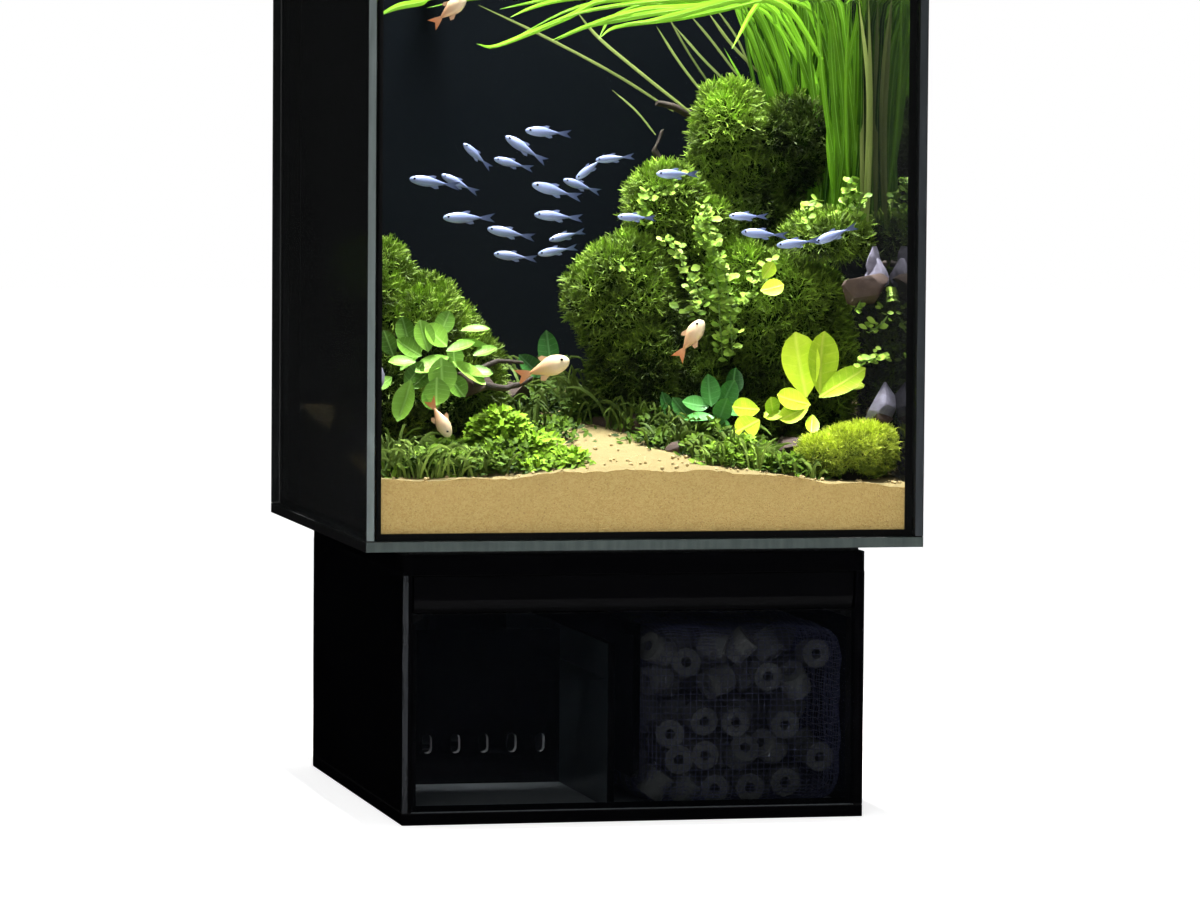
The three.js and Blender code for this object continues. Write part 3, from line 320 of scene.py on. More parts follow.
def take(piece):
    """Makes a piece the only selected and the active object."""
    deselect()
    piece.select_set(True)
    bpy.context.view_layer.objects.active = piece


def pick(test):
    """In edit mode, selects only the vertices whose place passes the test."""
    mesh = bmesh.from_edit_mesh(bpy.context.object.data)
    for vertex in mesh.verts:
        vertex.select = bool(test(vertex.co))
    mesh.select_flush_mode()
    mesh.select_flush(True)
    bmesh.update_edit_mesh(bpy.context.object.data)


def edit(piece):
    take(piece)
    bpy.ops.object.mode_set(mode="EDIT")
    bpy.ops.mesh.select_mode(type="VERT")


def edit_all(piece):
    """Edit mode with the whole mesh selected."""
    edit(piece)
    bpy.ops.mesh.select_all(action="SELECT")


def done():
    bpy.ops.object.mode_set(mode="OBJECT")


def close_up():
    """Turns every face outward and leaves edit mode."""
    bpy.ops.mesh.select_all(action="SELECT")
    bpy.ops.mesh.normals_make_consistent(inside=False)
    done()


def apply_place(piece):
    take(piece)
    bpy.ops.object.transform_apply(location=True, rotation=True, scale=True)


def add_modifier(piece, kind, **settings):
    """Adds a modifier and applies it."""
    take(piece)
    modifier = piece.modifiers.new(kind.title(), kind)
    for name, value in settings.items():
        setattr(modifier, name, value)
    bpy.ops.object.modifier_apply(modifier=modifier.name)


def just_added(name):
    """Names the object that an operator has just added."""
    piece = bpy.context.object
    piece.name = name
    piece.data.name = name
    return piece


def linked(name, data):
    """A new object in the scene that shows some data."""
    piece = bpy.data.objects.new(name, data)
    bpy.context.scene.collection.objects.link(piece)
    return piece


def cad_copy(node, name):
    """A copy of a CAD node with its doubled corners merged; it is left in edit mode, all selected."""
    piece = linked(name, frame["nodes"][node].data.copy())
    edit_all(piece)
    bpy.ops.mesh.remove_doubles(threshold=0.01 * MM)
    return piece


def ball(name, middle, radius, scale, subdivisions):
    """A ball about a place in millimetres, stretched along the axes."""
    deselect()
    bpy.ops.mesh.primitive_ico_sphere_add(subdivisions=subdivisions, radius=radius,
                                          location=Vector(middle) * MM)
    piece = just_added(name)
    piece.scale = scale
    apply_place(piece)
    return piece


def melt(piece, voxel, factor, times):
    """Runs a mesh's parts together on a grid of voxels and smooths what comes of it."""
    add_modifier(piece, "REMESH", mode="VOXEL", voxel_size=voxel)
    add_modifier(piece, "SMOOTH", factor=factor, iterations=times)


def lump(piece, name, across, strength, rest):
    """Pushes a mesh in and out by clouds this far across; where they are at rest it stays."""
    cloud = bpy.data.textures.new(name, "CLOUDS")
    cloud.noise_scale = across
    add_modifier(piece, "DISPLACE", texture=cloud, strength=strength, mid_level=rest)


def join(parts):
    """Joins objects into the first of them, which stays active."""
    deselect()
    for part in parts:
        part.select_set(True)
    bpy.context.view_layer.objects.active = parts[0]
    bpy.ops.object.join()


def points_of(piece):
    places = np.empty(len(piece.data.vertices) * 3, np.float32)
    piece.data.vertices.foreach_get("co", places)
    return places.reshape(-1, 3).astype(float)


def set_points(piece, places):
    piece.data.vertices.foreach_set("co", np.asarray(places, np.float32).ravel())
    piece.data.update()


def write_values(mesh, **values):
    """Gives each point of a mesh its named values, for the finishes to read."""
    for label, numbers in values.items():
        layer = mesh.attributes.new(label, "FLOAT", "POINT")
        layer.data.foreach_set("value", np.asarray(numbers, np.float32))


def swell(piece, pressure, cap, frames=20):
    """Puffs a closed mesh up with Cloth under pressure; no point moves further than the cap."""
    scene = bpy.context.scene
    before = points_of(piece)
    take(piece)
    bpy.ops.object.modifier_add(type="CLOTH")
    cloth = piece.modifiers[-1]
    cloth.settings.use_pressure = True
    cloth.settings.uniform_pressure_force = pressure
    cloth.settings.effector_weights.gravity = 0
    for step in range(1, frames + 1):
        scene.frame_set(step)
    bpy.ops.object.modifier_apply(modifier=cloth.name)
    scene.frame_set(1)
    moved = points_of(piece) - before
    length = np.maximum(np.linalg.norm(moved, axis=1, keepdims=True), 0.001 * MM)
    set_points(piece, before + moved * np.minimum(cap / length, 1))


def hand_over(piece, finish, body="aquarium", *, smooth=None, stands_for=()):
    """Gives a finished piece its material, its smoothing, its body and what it stands for."""
    apply_place(piece)
    piece.data.materials.clear()
    piece.data.materials.append(finish)
    if smooth is not None:
        take(piece)
        bpy.ops.object.shade_smooth_by_angle(angle=math.radians(smooth))
    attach(piece, body)
    if stands_for:
        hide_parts(*stands_for)
    deselect()
    return piece


def refined(node, edge, finish, smooth=35):
    """A copy of a CAD node with its triangles merged into whole faces and its edges rounded."""
    piece = cad_copy(node, node + "_finished")
    bpy.ops.mesh.dissolve_limited(angle_limit=math.radians(0.5))
    done()
    if edge > 0:
        add_modifier(piece, "BEVEL", width=edge, segments=2, limit_method="ANGLE",
                     angle_limit=math.radians(40))
    hand_over(piece, finish, frame["nodes"][node]["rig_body"], smooth=smooth,
              stands_for=(node,))
    add_modifier(piece, "WEIGHTED_NORMAL", weight=100, keep_sharp=True)
    return piece


# ------------------------------------------------------------------ shapes that repeat

def shape_of(piece):
    """Takes a modelled shape apart into its points and faces, and deletes the object."""
    apply_place(piece)
    points = points_of(piece)
    faces = [list(face.vertices) for face in piece.data.polygons]
    mesh = piece.data
    bpy.data.objects.remove(piece)
    bpy.data.meshes.remove(mesh)
    return points, faces


def copies(name, shape, frames, tints):
    """One object made of many copies of a shape, each set by a 3 by 4 frame and given a tint.

    The attribute along runs from 0 at each copy's root to 1 at its tip, and across from 0 on its
    middle line to 1 at its edge."""
    points, faces = shape
    frames = np.asarray(frames, float)
    tints = np.asarray(tints, float)
    total = len(frames)
    placed = np.einsum("nij,pj->npi", frames[:, :, :3], points) + frames[:, None, :, 3]
    reach = points[:, 0] - points[:, 0].min()
    along = np.tile(reach / max(reach.max(), 1e-9), total)
    across = np.tile(np.abs(points[:, 1]) / max(np.abs(points[:, 1]).max(), 1e-9), total)
    loops = np.array([index for face in faces for index in face])
    sizes = np.array([len(face) for face in faces])
    mesh = bpy.data.meshes.new(name)
    mesh.vertices.add(total * len(points))
    mesh.vertices.foreach_set("co", placed.astype(np.float32).ravel())
    every = (loops[None, :] + len(points) * np.arange(total)[:, None]).ravel()
    mesh.loops.add(len(every))
    mesh.loops.foreach_set("vertex_index", every.astype(np.int32))
    mesh.polygons.add(total * len(faces))
    starts = np.concatenate([[0], np.cumsum(np.tile(sizes, total))[:-1]])
    mesh.polygons.foreach_set("loop_start", starts.astype(np.int32))
    mesh.update(calc_edges=True)
    mesh.validate()
    write_values(mesh, along=along, across=across, tint=np.repeat(tints, len(points)))
    return linked(name, mesh)


def frame_at(place, forward, upward, scale=1.0, wide=1.0):
    """A 3 by 4 frame whose X runs along forward and whose Z leans to upward."""
    x_axis = Vector(forward).normalized()
    y_axis = Vector(upward).cross(x_axis)
    if y_axis.length < 1e-5:
        y_axis = Vector((0, 1, 0)).cross(x_axis)
    y_axis.normalize()
    z_axis = x_axis.cross(y_axis)
    grid = np.zeros((3, 4))
    grid[:, 0] = np.array(x_axis) * scale
    grid[:, 1] = np.array(y_axis) * scale * wide
    grid[:, 2] = np.array(z_axis) * scale
    grid[:, 3] = np.array(place)
    return grid


def frames_along(places, forwards, upwards, scales):
    """Frames for many copies at once."""
    x_axis = forwards / np.linalg.norm(forwards, axis=1, keepdims=True)
    y_axis = np.cross(upwards, x_axis)
    y_axis /= np.maximum(np.linalg.norm(y_axis, axis=1, keepdims=True), 1e-6)
    z_axis = np.cross(x_axis, y_axis)
    grids = np.stack([x_axis, y_axis, z_axis], axis=2) * scales[:, None, None]
    return np.concatenate([grids, places[:, :, None]], axis=2)


def leaf_shape(length, width, widest=0.5, fold=0.12, droop=0.2, rows=6, tip=0.04, stalk=0.0, halves=2):
    """A leaf along +X: a strip of faces widened row by row, folded at its midrib and drooping."""
    deselect()
    bpy.ops.mesh.primitive_grid_add(x_subdivisions=rows, y_subdivisions=halves, size=1)
    piece = just_added("leaf_pattern")
    edit(piece)
    for row in range(rows + 1):
        share = row / rows
        at = share - 0.5
        rise = min(share / widest, 1) if widest > 0 else 1
        fall = (1 - max((share - widest) / (1 - widest), 0) ** 2.1) ** 0.65
        # A leaf swells quickly from its root and closes in a blunt curve to its tip.
        spread = max(math.sin(rise * math.pi / 2) ** 0.8 * fall, tip)
        if share < stalk:
            spread = tip
        pick(lambda place: abs(place.x - at) < 0.01)
        bpy.ops.transform.resize(value=(1, spread, 1), center_override=(at, 0, 0))
        bpy.ops.transform.translate(value=(0, 0, -droop * share ** 2))
        pick(lambda place: abs(place.x - at) < 0.01 and abs(place.y) < 1e-4)
        bpy.ops.transform.translate(value=(0, 0, -fold * spread))
    pick(lambda place: True)
    bpy.ops.transform.translate(value=(0.5, 0, 0))
    bpy.ops.transform.resize(value=(length, width, length), center_override=(0, 0, 0))
    done()
    return shape_of(piece)


def foliage_finish(name, dark, light, roughness=0.45, ribs=0, spots=3.0, tip_gain=0.6, mottle=0.36,
                   gloss=0.35):
    """Living leaf: darker at the root and lighter at the tip, partly its own colour and partly painted
    shade, each copy as light as its tint, pale along its veins.
    """
    material, tree, shader = new_finish(name, Roughness=roughness, Specular_IOR_Level=gloss)
    along = carried(tree, "along")
    patch = noise(tree, own_place(tree), spots, 3.0)
    # The root's dark end is partly painted shade; a copy's tint is its own tone and, in the moss, eelgrass,
    # carpets, tufts and broad leaves, also painted light and shade.
    reach = maths(tree, "MULTIPLY_ADD", along, tip_gain, 1 - tip_gain)
    lit = maths(tree, "MULTIPLY", reach, carried(tree, "tint"))
    shift = maths(tree, "MULTIPLY_ADD", patch, mottle, -0.5 * mottle)
    base = mixed(tree, maths(tree, "ADD", lit, shift, use_clamp=True), dark, light)
    if ribs:
        across = carried(tree, "across")
        midrib = span(tree, across, from_max=0.14, to_min=1.0, to_max=0.0)
        sweep = maths(tree, "MULTIPLY", across, -4.5)
        phase = maths(tree, "MULTIPLY_ADD", along, 2 * math.pi * ribs, sweep)
        side = span(tree, maths(tree, "SINE", phase), from_min=0.8, from_max=1.0, to_max=0.3)
        vein = maths(tree, "MAXIMUM", midrib, side)
        pale = mixed(tree, 0.45, base, (*[min(part * 1.3 + 0.12, 1) for part in light[:3]], 1))
        base = mixed(tree, vein, base, pale)
        emboss(tree, shader, vein, 0.5, 0.25 * MM)
    paint(tree, shader, base)
    return material


# ------------------------------------------------------------------ finishes of the built parts

def black_acrylic(name, base, roughness=0.08, gloss_level=0.5):
    """Cast acrylic sheet: deep black and flat, with the faintest wipe marks in its gloss."""
    material, tree, shader = new_finish(name, Base_Color=base, IOR=1.49, Specular_IOR_Level=gloss_level)
    wipe = noise(tree, own_place(tree), 45, 4.0, distortion=1.2)
    gloss = span(tree, wipe, from_min=0.3, from_max=0.7, to_min=roughness, to_max=roughness + 0.07)
    tree.links.new(gloss, shader.inputs["Roughness"])
    return material


def sheet_glass(name, base, alpha, roughness=0.02, gloss=0.5):
    """Float glass seen through: almost no body colour, a hard clean gloss."""
    return new_finish(name, Base_Color=base, Alpha=alpha, Roughness=roughness, IOR=1.52,
                      Specular_IOR_Level=gloss)[0]


def lit_edge_finish(name, base):
    """Ground and polished edge, greenish grey with fine drag lines; its lightness is painted light, given
    as lit and shaded copies for the light each edge gathers.
    """
    material, tree, shader = new_finish(name, Roughness=0.22, IOR=1.52)
    place = add_node(tree, "ShaderNodeMapping", {"Vector": own_place(tree), "Scale": (1, 1, 0.12)})
    drag = noise(tree, place.outputs[0], 2.5, 3.0)
    paint(tree, shader, mixed(tree, drag, dimmed(base, 0.45), base))
    return material


def silicone(name):
    """Cured black silicone: soft satin skin with a slightly uneven tooled surface."""
    material, tree, shader = new_finish(name, Base_Color=colour("#070708"), Roughness=0.42, IOR=1.41)
    emboss(tree, shader, noise(tree, own_place(tree), 4, 2.0), 0.35, 0.3 * MM)
    return material


def moulded_plastic(name, base, roughness=0.42):
    """Injection-moulded ABS: even colour, fine spark-eroded grain that softens the highlights."""
    material, tree, shader = new_finish(name, Roughness=roughness, IOR=1.53)
    place = own_place(tree)
    light = (*[min(part * 1.35 + 0.002, 1) for part in base[:3]], 1)
    paint(tree, shader, mixed(tree, noise(tree, place, 9, 2.0), base, light))
    # The eroded grain is about 0.1 mm; it is drawn at 0.5 mm so that it shows at all.
    emboss(tree, shader, noise(tree, place, 0.5, 1.0), 0.15, 0.06 * MM)
    return material


def foam_rubber(name):
    """Closed-cell foam mat: matt charcoal with small cells along its cut edge."""
    material, tree, shader = new_finish(name, Roughness=0.92)
    height = cells(tree, own_place(tree), 0.9).outputs["Distance"]
    paint(tree, shader, mixed(tree, height, colour("#0c0c0d"), colour("#242426")))
    emboss(tree, shader, height, 0.5, 0.2 * MM)
    return material


def wool_finish(name, base):
    """Bonded polyester wool: matt fibres lying every way, with soft hollows."""
    material, tree, shader = new_finish(name, Roughness=0.95, Sheen_Weight=0.25)
    fibre = noise(tree, own_place(tree), 1.1, 8.0, distortion=3.0)
    paint(tree, shader, mixed(tree, fibre, dimmed(base, 0.7), base))
    emboss(tree, shader, fibre, 0.7, 0.6 * MM)
    return material


def net_finish(name, base):
    """Knitted nylon: thin strands with a soft sheen, here lighter and there darker."""
    material, tree, shader = new_finish(name, Roughness=0.5, Sheen_Weight=0.4)
    knit = noise(tree, own_place(tree), 16, 3.0)
    paint(tree, shader, mixed(tree, knit, dimmed(base, 0.35), base))
    return material


def ceramic_finish(name, base):
    """Sintered ceramic: chalky, with open pores that are darker."""
    material, tree, shader = new_finish(name, Roughness=0.85)
    pores = noise(tree, own_place(tree), 1.2, 5.0)
    paint(tree, shader, mixed(tree, pores, dimmed(base, 0.55), base))
    emboss(tree, shader, pores, 0.5, 0.3 * MM)
    return material


def sand_finish(name, light, dark):
    """Fine river sand: quartz grains of several tints, matt with here and there a bright one."""
    material, tree, shader = new_finish(name, Roughness=0.9)
    place = own_place(tree)
    # Grains are 0.4 to 0.8 mm across.
    grains = cells(tree, place, 0.55)
    drift = noise(tree, place, 9, 4.0)
    grit = noise(tree, place, 1.6, 2.0)
    spread = add_node(tree, "ShaderNodeSeparateColor", {0: grains.outputs["Color"]})
    tone = mixed(tree, spread.outputs[0], dark, light)
    warm = mixed(tree, 0.35, tone, colour("#a8854e"))
    cloudy = mixed(tree, drift, tone, warm)
    rare = maths(tree, "GREATER_THAN", spread.outputs[1], 0.985)
    speck = mixed(tree, rare, cloudy, colour("#9a7e4a"))
    # Painted shade: faces that look up, in the tank lamp's full light, are painted a darker, greyer sand
    # than grains at the glass.
    facing = add_node(tree, "ShaderNodeNewGeometry").outputs["True Normal"]
    tall = add_node(tree, "ShaderNodeSeparateXYZ", {0: facing}).outputs[2]
    painted_top_shade = span(tree, tall, from_min=0.3, from_max=0.9, to_max=0.8)
    paint(tree, shader, mixed(tree, painted_top_shade, speck, colour("#736a44")))
    height = maths(tree, "SUBTRACT", grains.outputs["Distance"], grit)
    emboss(tree, shader, height, 0.55, 0.4 * MM)
    return material


def stone_finish(name, light, dark, vein=6, shine=0.5):
    """Weathered stone: mottled and matt, darker in its hollows."""
    material, tree, shader = new_finish(name, Roughness=0.8, Specular_IOR_Level=shine)
    mottle = noise(tree, own_place(tree), vein, 8.0)
    paint(tree, shader, mixed(tree, mottle, dark, light))
    emboss(tree, shader, mottle, 0.8, 1.0 * MM)
    return material


def water_finish(name):
    """Still fresh water: clear, faintly green, its gloss broken by slow ripples."""
    material, tree, shader = new_finish(name, Base_Color=colour("#24332e"), Alpha=0.08, Roughness=0.03,
                                        IOR=1.33, Specular_IOR_Level=0.03)
    emboss(tree, shader, noise(tree, own_place(tree), 28, 1.0), 0.4, 1.0 * MM)
    return material


def fish_finish(name, belly, back, roughness=0.28):
    """Scales over silver skin: a bright flank that darkens to the tail, with a wet gloss."""
    material, tree, shader = new_finish(name, Roughness=roughness, Specular_IOR_Level=0.7)
    flank = mixed(tree, carried(tree, "along"), back, belly)
    paint(tree, shader, mixed(tree, carried(tree, "tint"), back, flank))
    emboss(tree, shader, cells(tree, own_place(tree), 0.8).outputs["Distance"], 0.2, 0.1 * MM)
    return material


# ------------------------------------------------------------------ operators: tank and stand

class AQUARIUM_OT_panes(bpy.types.Operator):
    """Glass panes with ground edges, and the clear lid"""
    bl_idname = "aquarium.panes"
    bl_label = "Glass panes"

    def execute(self, context):
        sizes = context.scene.aquarium_sizes
        colours = context.scene.aquarium_colours
        rubber = silicone("black silicone seal")
        # Painted light on the pane edges: the lit edge colour is a painted highlight, the shaded and
        # deep-shaded ones are painted shade.
        lit = lit_edge_finish("lit glass edge", colours.glass_edge)
        shaded_edge = lit_edge_finish("shaded glass edge", colour("#414947"))
        deep_shaded_edge = lit_edge_finish("deep-shaded glass edge", colour("#34383b"))
        clear = sheet_glass("clear float glass", colour("#0c1412"), 0.05)
        dark = sheet_glass("black-backed float glass", colour("#0c0d0d"), 0.93, 0.04)
        lid = sheet_glass("low-iron lid glass", colour("#1a2622"), 0.1, gloss=0.05)
        side = sheet_glass("smoky side glass", colour("#141515"), 0.87, 0.04)
        floor = sheet_glass("green float glass", colour("#3c4a46"), 0.7, 0.05)
        for node, body, axis, edge in (
                ("tank_front_pane", clear, 1, shaded_edge), ("tank_left_pane", side, 0, lit),
                ("tank_right_pane", dark, 0, deep_shaded_edge), ("tank_back_pane", dark, 1, shaded_edge),
                ("tank_floor", floor, 2, shaded_edge), ("lid_glass", lid, 2, lit)):
            piece = refined(node, sizes.pane_edge, body)
            piece.data.materials.append(edge)
            piece.data.materials.append(rubber)
            for face in piece.data.polygons:
                square = max(abs(part) for part in face.normal) > 0.98
                face.material_index = 1 if square and abs(face.normal[axis]) < 0.1 else 0
                # The floor pane shows only its front edge, in the shaded edge colour; the rest of it is
                # closed in black silicone.
                if node == "tank_floor" and not (square and abs(face.normal.z) > 0.98):
                    face.material_index = 1 if face.normal.y < -0.98 else 2
        return {"FINISHED"}


class AQUARIUM_OT_panels(bpy.types.Operator):
    """Acrylic panels of the stand, the drawer front, the deck and the overflow wall"""
    bl_idname = "aquarium.panels"
    bl_label = "Acrylic panels"

    def execute(self, context):
        sizes = context.scene.aquarium_sizes
        colours = context.scene.aquarium_colours
        black = black_acrylic("black cast acrylic", colours.black_panel)
        inner = black_acrylic("inner black acrylic", colour("#3a4448"), 0.3)
        wall = black_acrylic("satin black acrylic", colours.wall_blue, 0.5, 0.1)
        window = sheet_glass("smoked acrylic window", colours.smoked, 0.46, 0.05)
        base = black_acrylic("grey smoked acrylic", colour("#dce8ee"), 0.35)
        brushed = black_acrylic("brushed black acrylic", colours.black_panel, 0.2, 0.12)
        for node in ("stand_right_wall", "stand_back_wall", "stand_deck",
                     "drawer_front", "chamber_cover", "cover_ledge"):
            if node == "drawer_front":
                refined(node, sizes.panel_edge, brushed, smooth=15)
            else:
                refined(node, sizes.panel_edge, black)
        # The sides of the comb's slots are painted near-white: a painted glint, the light that shows
        # through the slots.
        slot_glint = moulded_plastic("pale slot-edge glint", colour("#eef2f6"), 0.6)
        for node in ("over_baffle", "under_baffle", "comb_baffle"):
            comb = node == "comb_baffle"
            baffle = refined(node, 0.9 * MM if comb else sizes.panel_edge, inner)
            baffle.data.materials.append(slot_glint)
            baffle.data.materials.append(black)
            lowest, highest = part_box(node)
            for face in baffle.data.polygons:
                # Only the sides of the comb's slots get the painted glint, not the plate's own edges.
                across = lowest.x + MM < face.center.x < highest.x - MM
                slotted = lowest.z + 2 * MM < face.center.z < lowest.z + 25 * MM
                cut = comb and across and slotted and abs(face.normal.y) < 0.9
                pale = node == "over_baffle" and abs(face.normal.x) > 0.9
                face.material_index = 1 if cut else 0 if pale else 2
        refined("weir_wall", sizes.panel_edge, wall)
        refined("stand_front_pane", sizes.panel_edge, window)
        floor = refined("stand_floor", sizes.panel_edge, base)
        floor.data.materials.append(black)
        for face in floor.data.polygons:
            face.material_index = 0 if face.normal.z > 0.98 else 1
        side = refined("stand_left_wall", sizes.panel_edge, black)
        # A strip down the wall's front edge is painted a lighter grey: a painted highlight where the edge
        # catches the light.
        strip = side.data.vertices[0].co.copy()
        strip.x = low("stand_left_wall").x + 2.3 * MM
        edit_all(side)
        bpy.ops.mesh.bisect(plane_co=strip, plane_no=(1, 0, 0))
        done()
        side.data.materials.append(lit_edge_finish("lit acrylic edge", colour("#26282b")))
        for face in side.data.polygons:
            face.material_index = 1 if face.normal.y < -0.5 and face.center.x < strip.x else 0
        return {"FINISHED"}


class AQUARIUM_OT_fittings(bpy.types.Operator):
    """Silicone, runners, pipes, clips, pump and hose in their own plastics"""
    bl_idname = "aquarium.fittings"
    bl_label = "Fittings"

    def execute(self, context):
        rubber = silicone("black silicone rubber")
        abs_black = moulded_plastic("black moulded ABS", colour("#131415"))
        pvc = moulded_plastic("grey rigid PVC", colour("#3e4347"), 0.35)
        foam = foam_rubber("closed-cell foam")
        magnet = moulded_plastic("ferrite magnet", colour("#26262a"), 0.55)
        pin = ceramic_finish("fired ceramic pin", colour("#ece8de"))
        # Vinyl lets light through with a milky cast.
        hose = new_finish("clear vinyl hose", Base_Color=colour("#b9c4c4"), Alpha=0.45, Roughness=0.12)[0]
        # Cut acrylic is clear, a little grey in its thickness, and glossy.
        clip = new_finish("clear acrylic clip", Base_Color=colour("#5c6866"), Alpha=0.32, Roughness=0.06)[0]
        slight = 0.25 * MM
        finishes = {
            rubber: ("tank_silicone", "stand_silicone", "suction_cup_1", "suction_cup_2", "suction_cup_3",
                     "suction_cup_4", "drain_gasket", "return_gasket", "rear_bush", "front_bush"),
            abs_black: ("left_runner", "right_runner", "drawer_tray", "pump_volute", "pump_motor",
                        "intake_cover", "return_nozzle", "drain_strainer"),
            pvc: ("drain_bulkhead", "drain_nut", "drain_standpipe", "return_bulkhead", "return_nut",
                  "return_riser", "flow_dial"),
            foam: ("levelling_mat",),
            magnet: ("pump_rotor",),
            pin: ("pump_shaft",),
            hose: ("return_hose",),
            clip: ("left_front_clip", "left_rear_clip", "right_front_clip", "right_rear_clip",
                   "lid_handle"),
        }
        for finish, nodes in finishes.items():
            for node in nodes:
                refined(node, slight if finish in (clip, pvc) else 0, finish)
        return {"FINISHED"}


class AQUARIUM_OT_sand(bpy.types.Operator):
    """The sand bed with its wavy top, and small pebbles lying on it"""
    bl_idname = "aquarium.sand"
    bl_label = "Sand bed"

    def execute(self, context):
        sizes = context.scene.aquarium_sizes
        colours = context.scene.aquarium_colours
        lowest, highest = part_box("sand_bed")
        middle = (lowest + highest) / 2
        width = highest.x - lowest.x
        depth = highest.y - lowest.y
        deselect()
        bpy.ops.mesh.primitive_grid_add(x_subdivisions=round(width / sizes.sand_step),
                                        y_subdivisions=round(depth / sizes.sand_step),
                                        size=1, location=(middle.x, middle.y, 0))
        bed = just_added("sand_top")
        bed.scale = (width, depth, 1)
        apply_place(bed)
        rng = draws("sand")
        places = points_of(bed)
        for place in places:
            # Low waves a few centimetres long; the grains' own roughness comes after.
            wave = 0.5 * MM * math.sin(place[0] * 190 + place[1] * 60) * math.cos(place[1] * 140)
            place[2] = sand_height(place[0], place[1]) + wave
        places[:, 2] += rng.normal(0, 0.16 * MM, len(places))
        places[:, 2] = np.minimum(places[:, 2], highest.z)
        set_points(bed, places)
        edit_all(bed)
        bpy.ops.mesh.extrude_region_move(TRANSFORM_OT_translate={"value": (0, 0, -0.2)})
        bpy.ops.transform.resize(value=(1, 1, 0), center_override=(0, 0, lowest.z))
        close_up()
        finish = sand_finish("river sand", colours.sand_light, colours.sand_dark)
        hand_over(bed, finish, smooth=50, stands_for=("sand_bed",))

        deselect()
        bpy.ops.mesh.primitive_ico_sphere_add(subdivisions=1, radius=1)
        grain = shape_of(just_added("pebble_pattern"))
        frames, tints = [], []
        for _ in range(220):
            x = rng.uniform(INSIDE_LEFT + 2 * MM, INSIDE_RIGHT - 2 * MM)
            y = INSIDE_FRONT + 2 * MM + abs(rng.normal(0, 45 * MM))
            if y > WALL_Y - 3 * MM:
                continue
            radius = rng.uniform(0.4, 1.0) * MM
            place = (x, y, sand_height(x, y) + 0.3 * radius)
            frames.append(frame_at(place, rng.normal(size=3), rng.normal(size=3), radius))
            tints.append(rng.uniform(0.2, 1))
        pebbles = copies("loose_grains", grain, frames, tints)
        gravel = stone_finish("pale quartz gravel", colour("#c8b684"), colour("#98804e"), 2)
        hand_over(pebbles, gravel, smooth=60)
        return {"FINISHED"}


class AQUARIUM_OT_water(bpy.types.Operator):
    """Water surfaces of the tank and of the two filter chambers"""
    bl_idname = "aquarium.water"
    bl_label = "Water"

    def execute(self, context):
        finish = water_finish("clear water")
        inset = 0.4 * MM
        stand_left = high("stand_left_wall").x
        stand_front = high("stand_front_pane").y
        stand_back = low("stand_back_wall").y
        areas = (
            ("tank_water", INSIDE_LEFT, INSIDE_RIGHT, INSIDE_FRONT, WALL_Y, WATER_LEVEL),
            ("sump_water", stand_left, low("over_baffle").x, stand_front, low("comb_baffle").y, SUMP_LEVEL),
            ("pump_water", stand_left, low("over_baffle").x, high("comb_baffle").y, stand_back, SUMP_LEVEL),
        )
        for name, left, right, front, back, level in areas:
            deselect()
            bpy.ops.mesh.primitive_grid_add(x_subdivisions=48, y_subdivisions=40, size=1,
                                            location=((left + right) / 2, (front + back) / 2, level))
            surface = just_added(name)
            surface.scale = (right - left - 2 * inset, back - front - 2 * inset, 1)
            apply_place(surface)
            places = points_of(surface)
            ripple = np.sin(places[:, 0] * 240 + 1.3) * np.sin(places[:, 1] * 210) * 0.35 * MM
            # The water creeps up a little wherever it meets a wall.
            rise = np.zeros(len(places))
            for axis, edges in ((0, (left, right)), (1, (front, back))):
                for edge in edges:
                    rise += 0.9 * MM * np.exp(-np.abs(places[:, axis] - edge) / (1.6 * MM))
            places[:, 2] += ripple + np.minimum(rise, 1.2 * MM)
            set_points(surface, places)
            hand_over(surface, finish, smooth=60)
        return {"FINISHED"}


# ------------------------------------------------------------------ operators: moss and plants

def surface_samples(piece, total, rng, toward=None):
    """Random points on a mesh, spread by area and by how much a face looks up or to the front."""
    mesh = piece.data
    mesh.calc_loop_triangles()
    corners = np.empty(len(mesh.loop_triangles) * 3, np.int32)
    mesh.loop_triangles.foreach_get("vertices", corners)
    points = points_of(piece)[corners.reshape(-1, 3)]
    across = np.cross(points[:, 1] - points[:, 0], points[:, 2] - points[:, 0])
    areas = np.linalg.norm(across, axis=1)
    weights = areas.copy()
    if toward is not None:
        facing = (across / areas[:, None]) @ np.array(toward)
        weights *= 0.2 + np.clip(facing + 0.45, 0, 1)
    chosen = rng.choice(len(areas), total, p=weights / weights.sum())
    first, second = np.sqrt(rng.random(total)), rng.random(total)
    shares = np.stack([1 - first, first * (1 - second), first * second], axis=1)
    places = np.einsum("nk,nki->ni", shares, points[chosen])
    return places, across[chosen] / areas[chosen][:, None]


def spaced(places, distance):
    """The indices of places that keep a distance from each other."""
    kept = []
    for index, place in enumerate(places):
        if all(np.sum((places[other] - place) ** 2) > distance ** 2 for other in kept):
            kept.append(index)
    return np.array(kept)


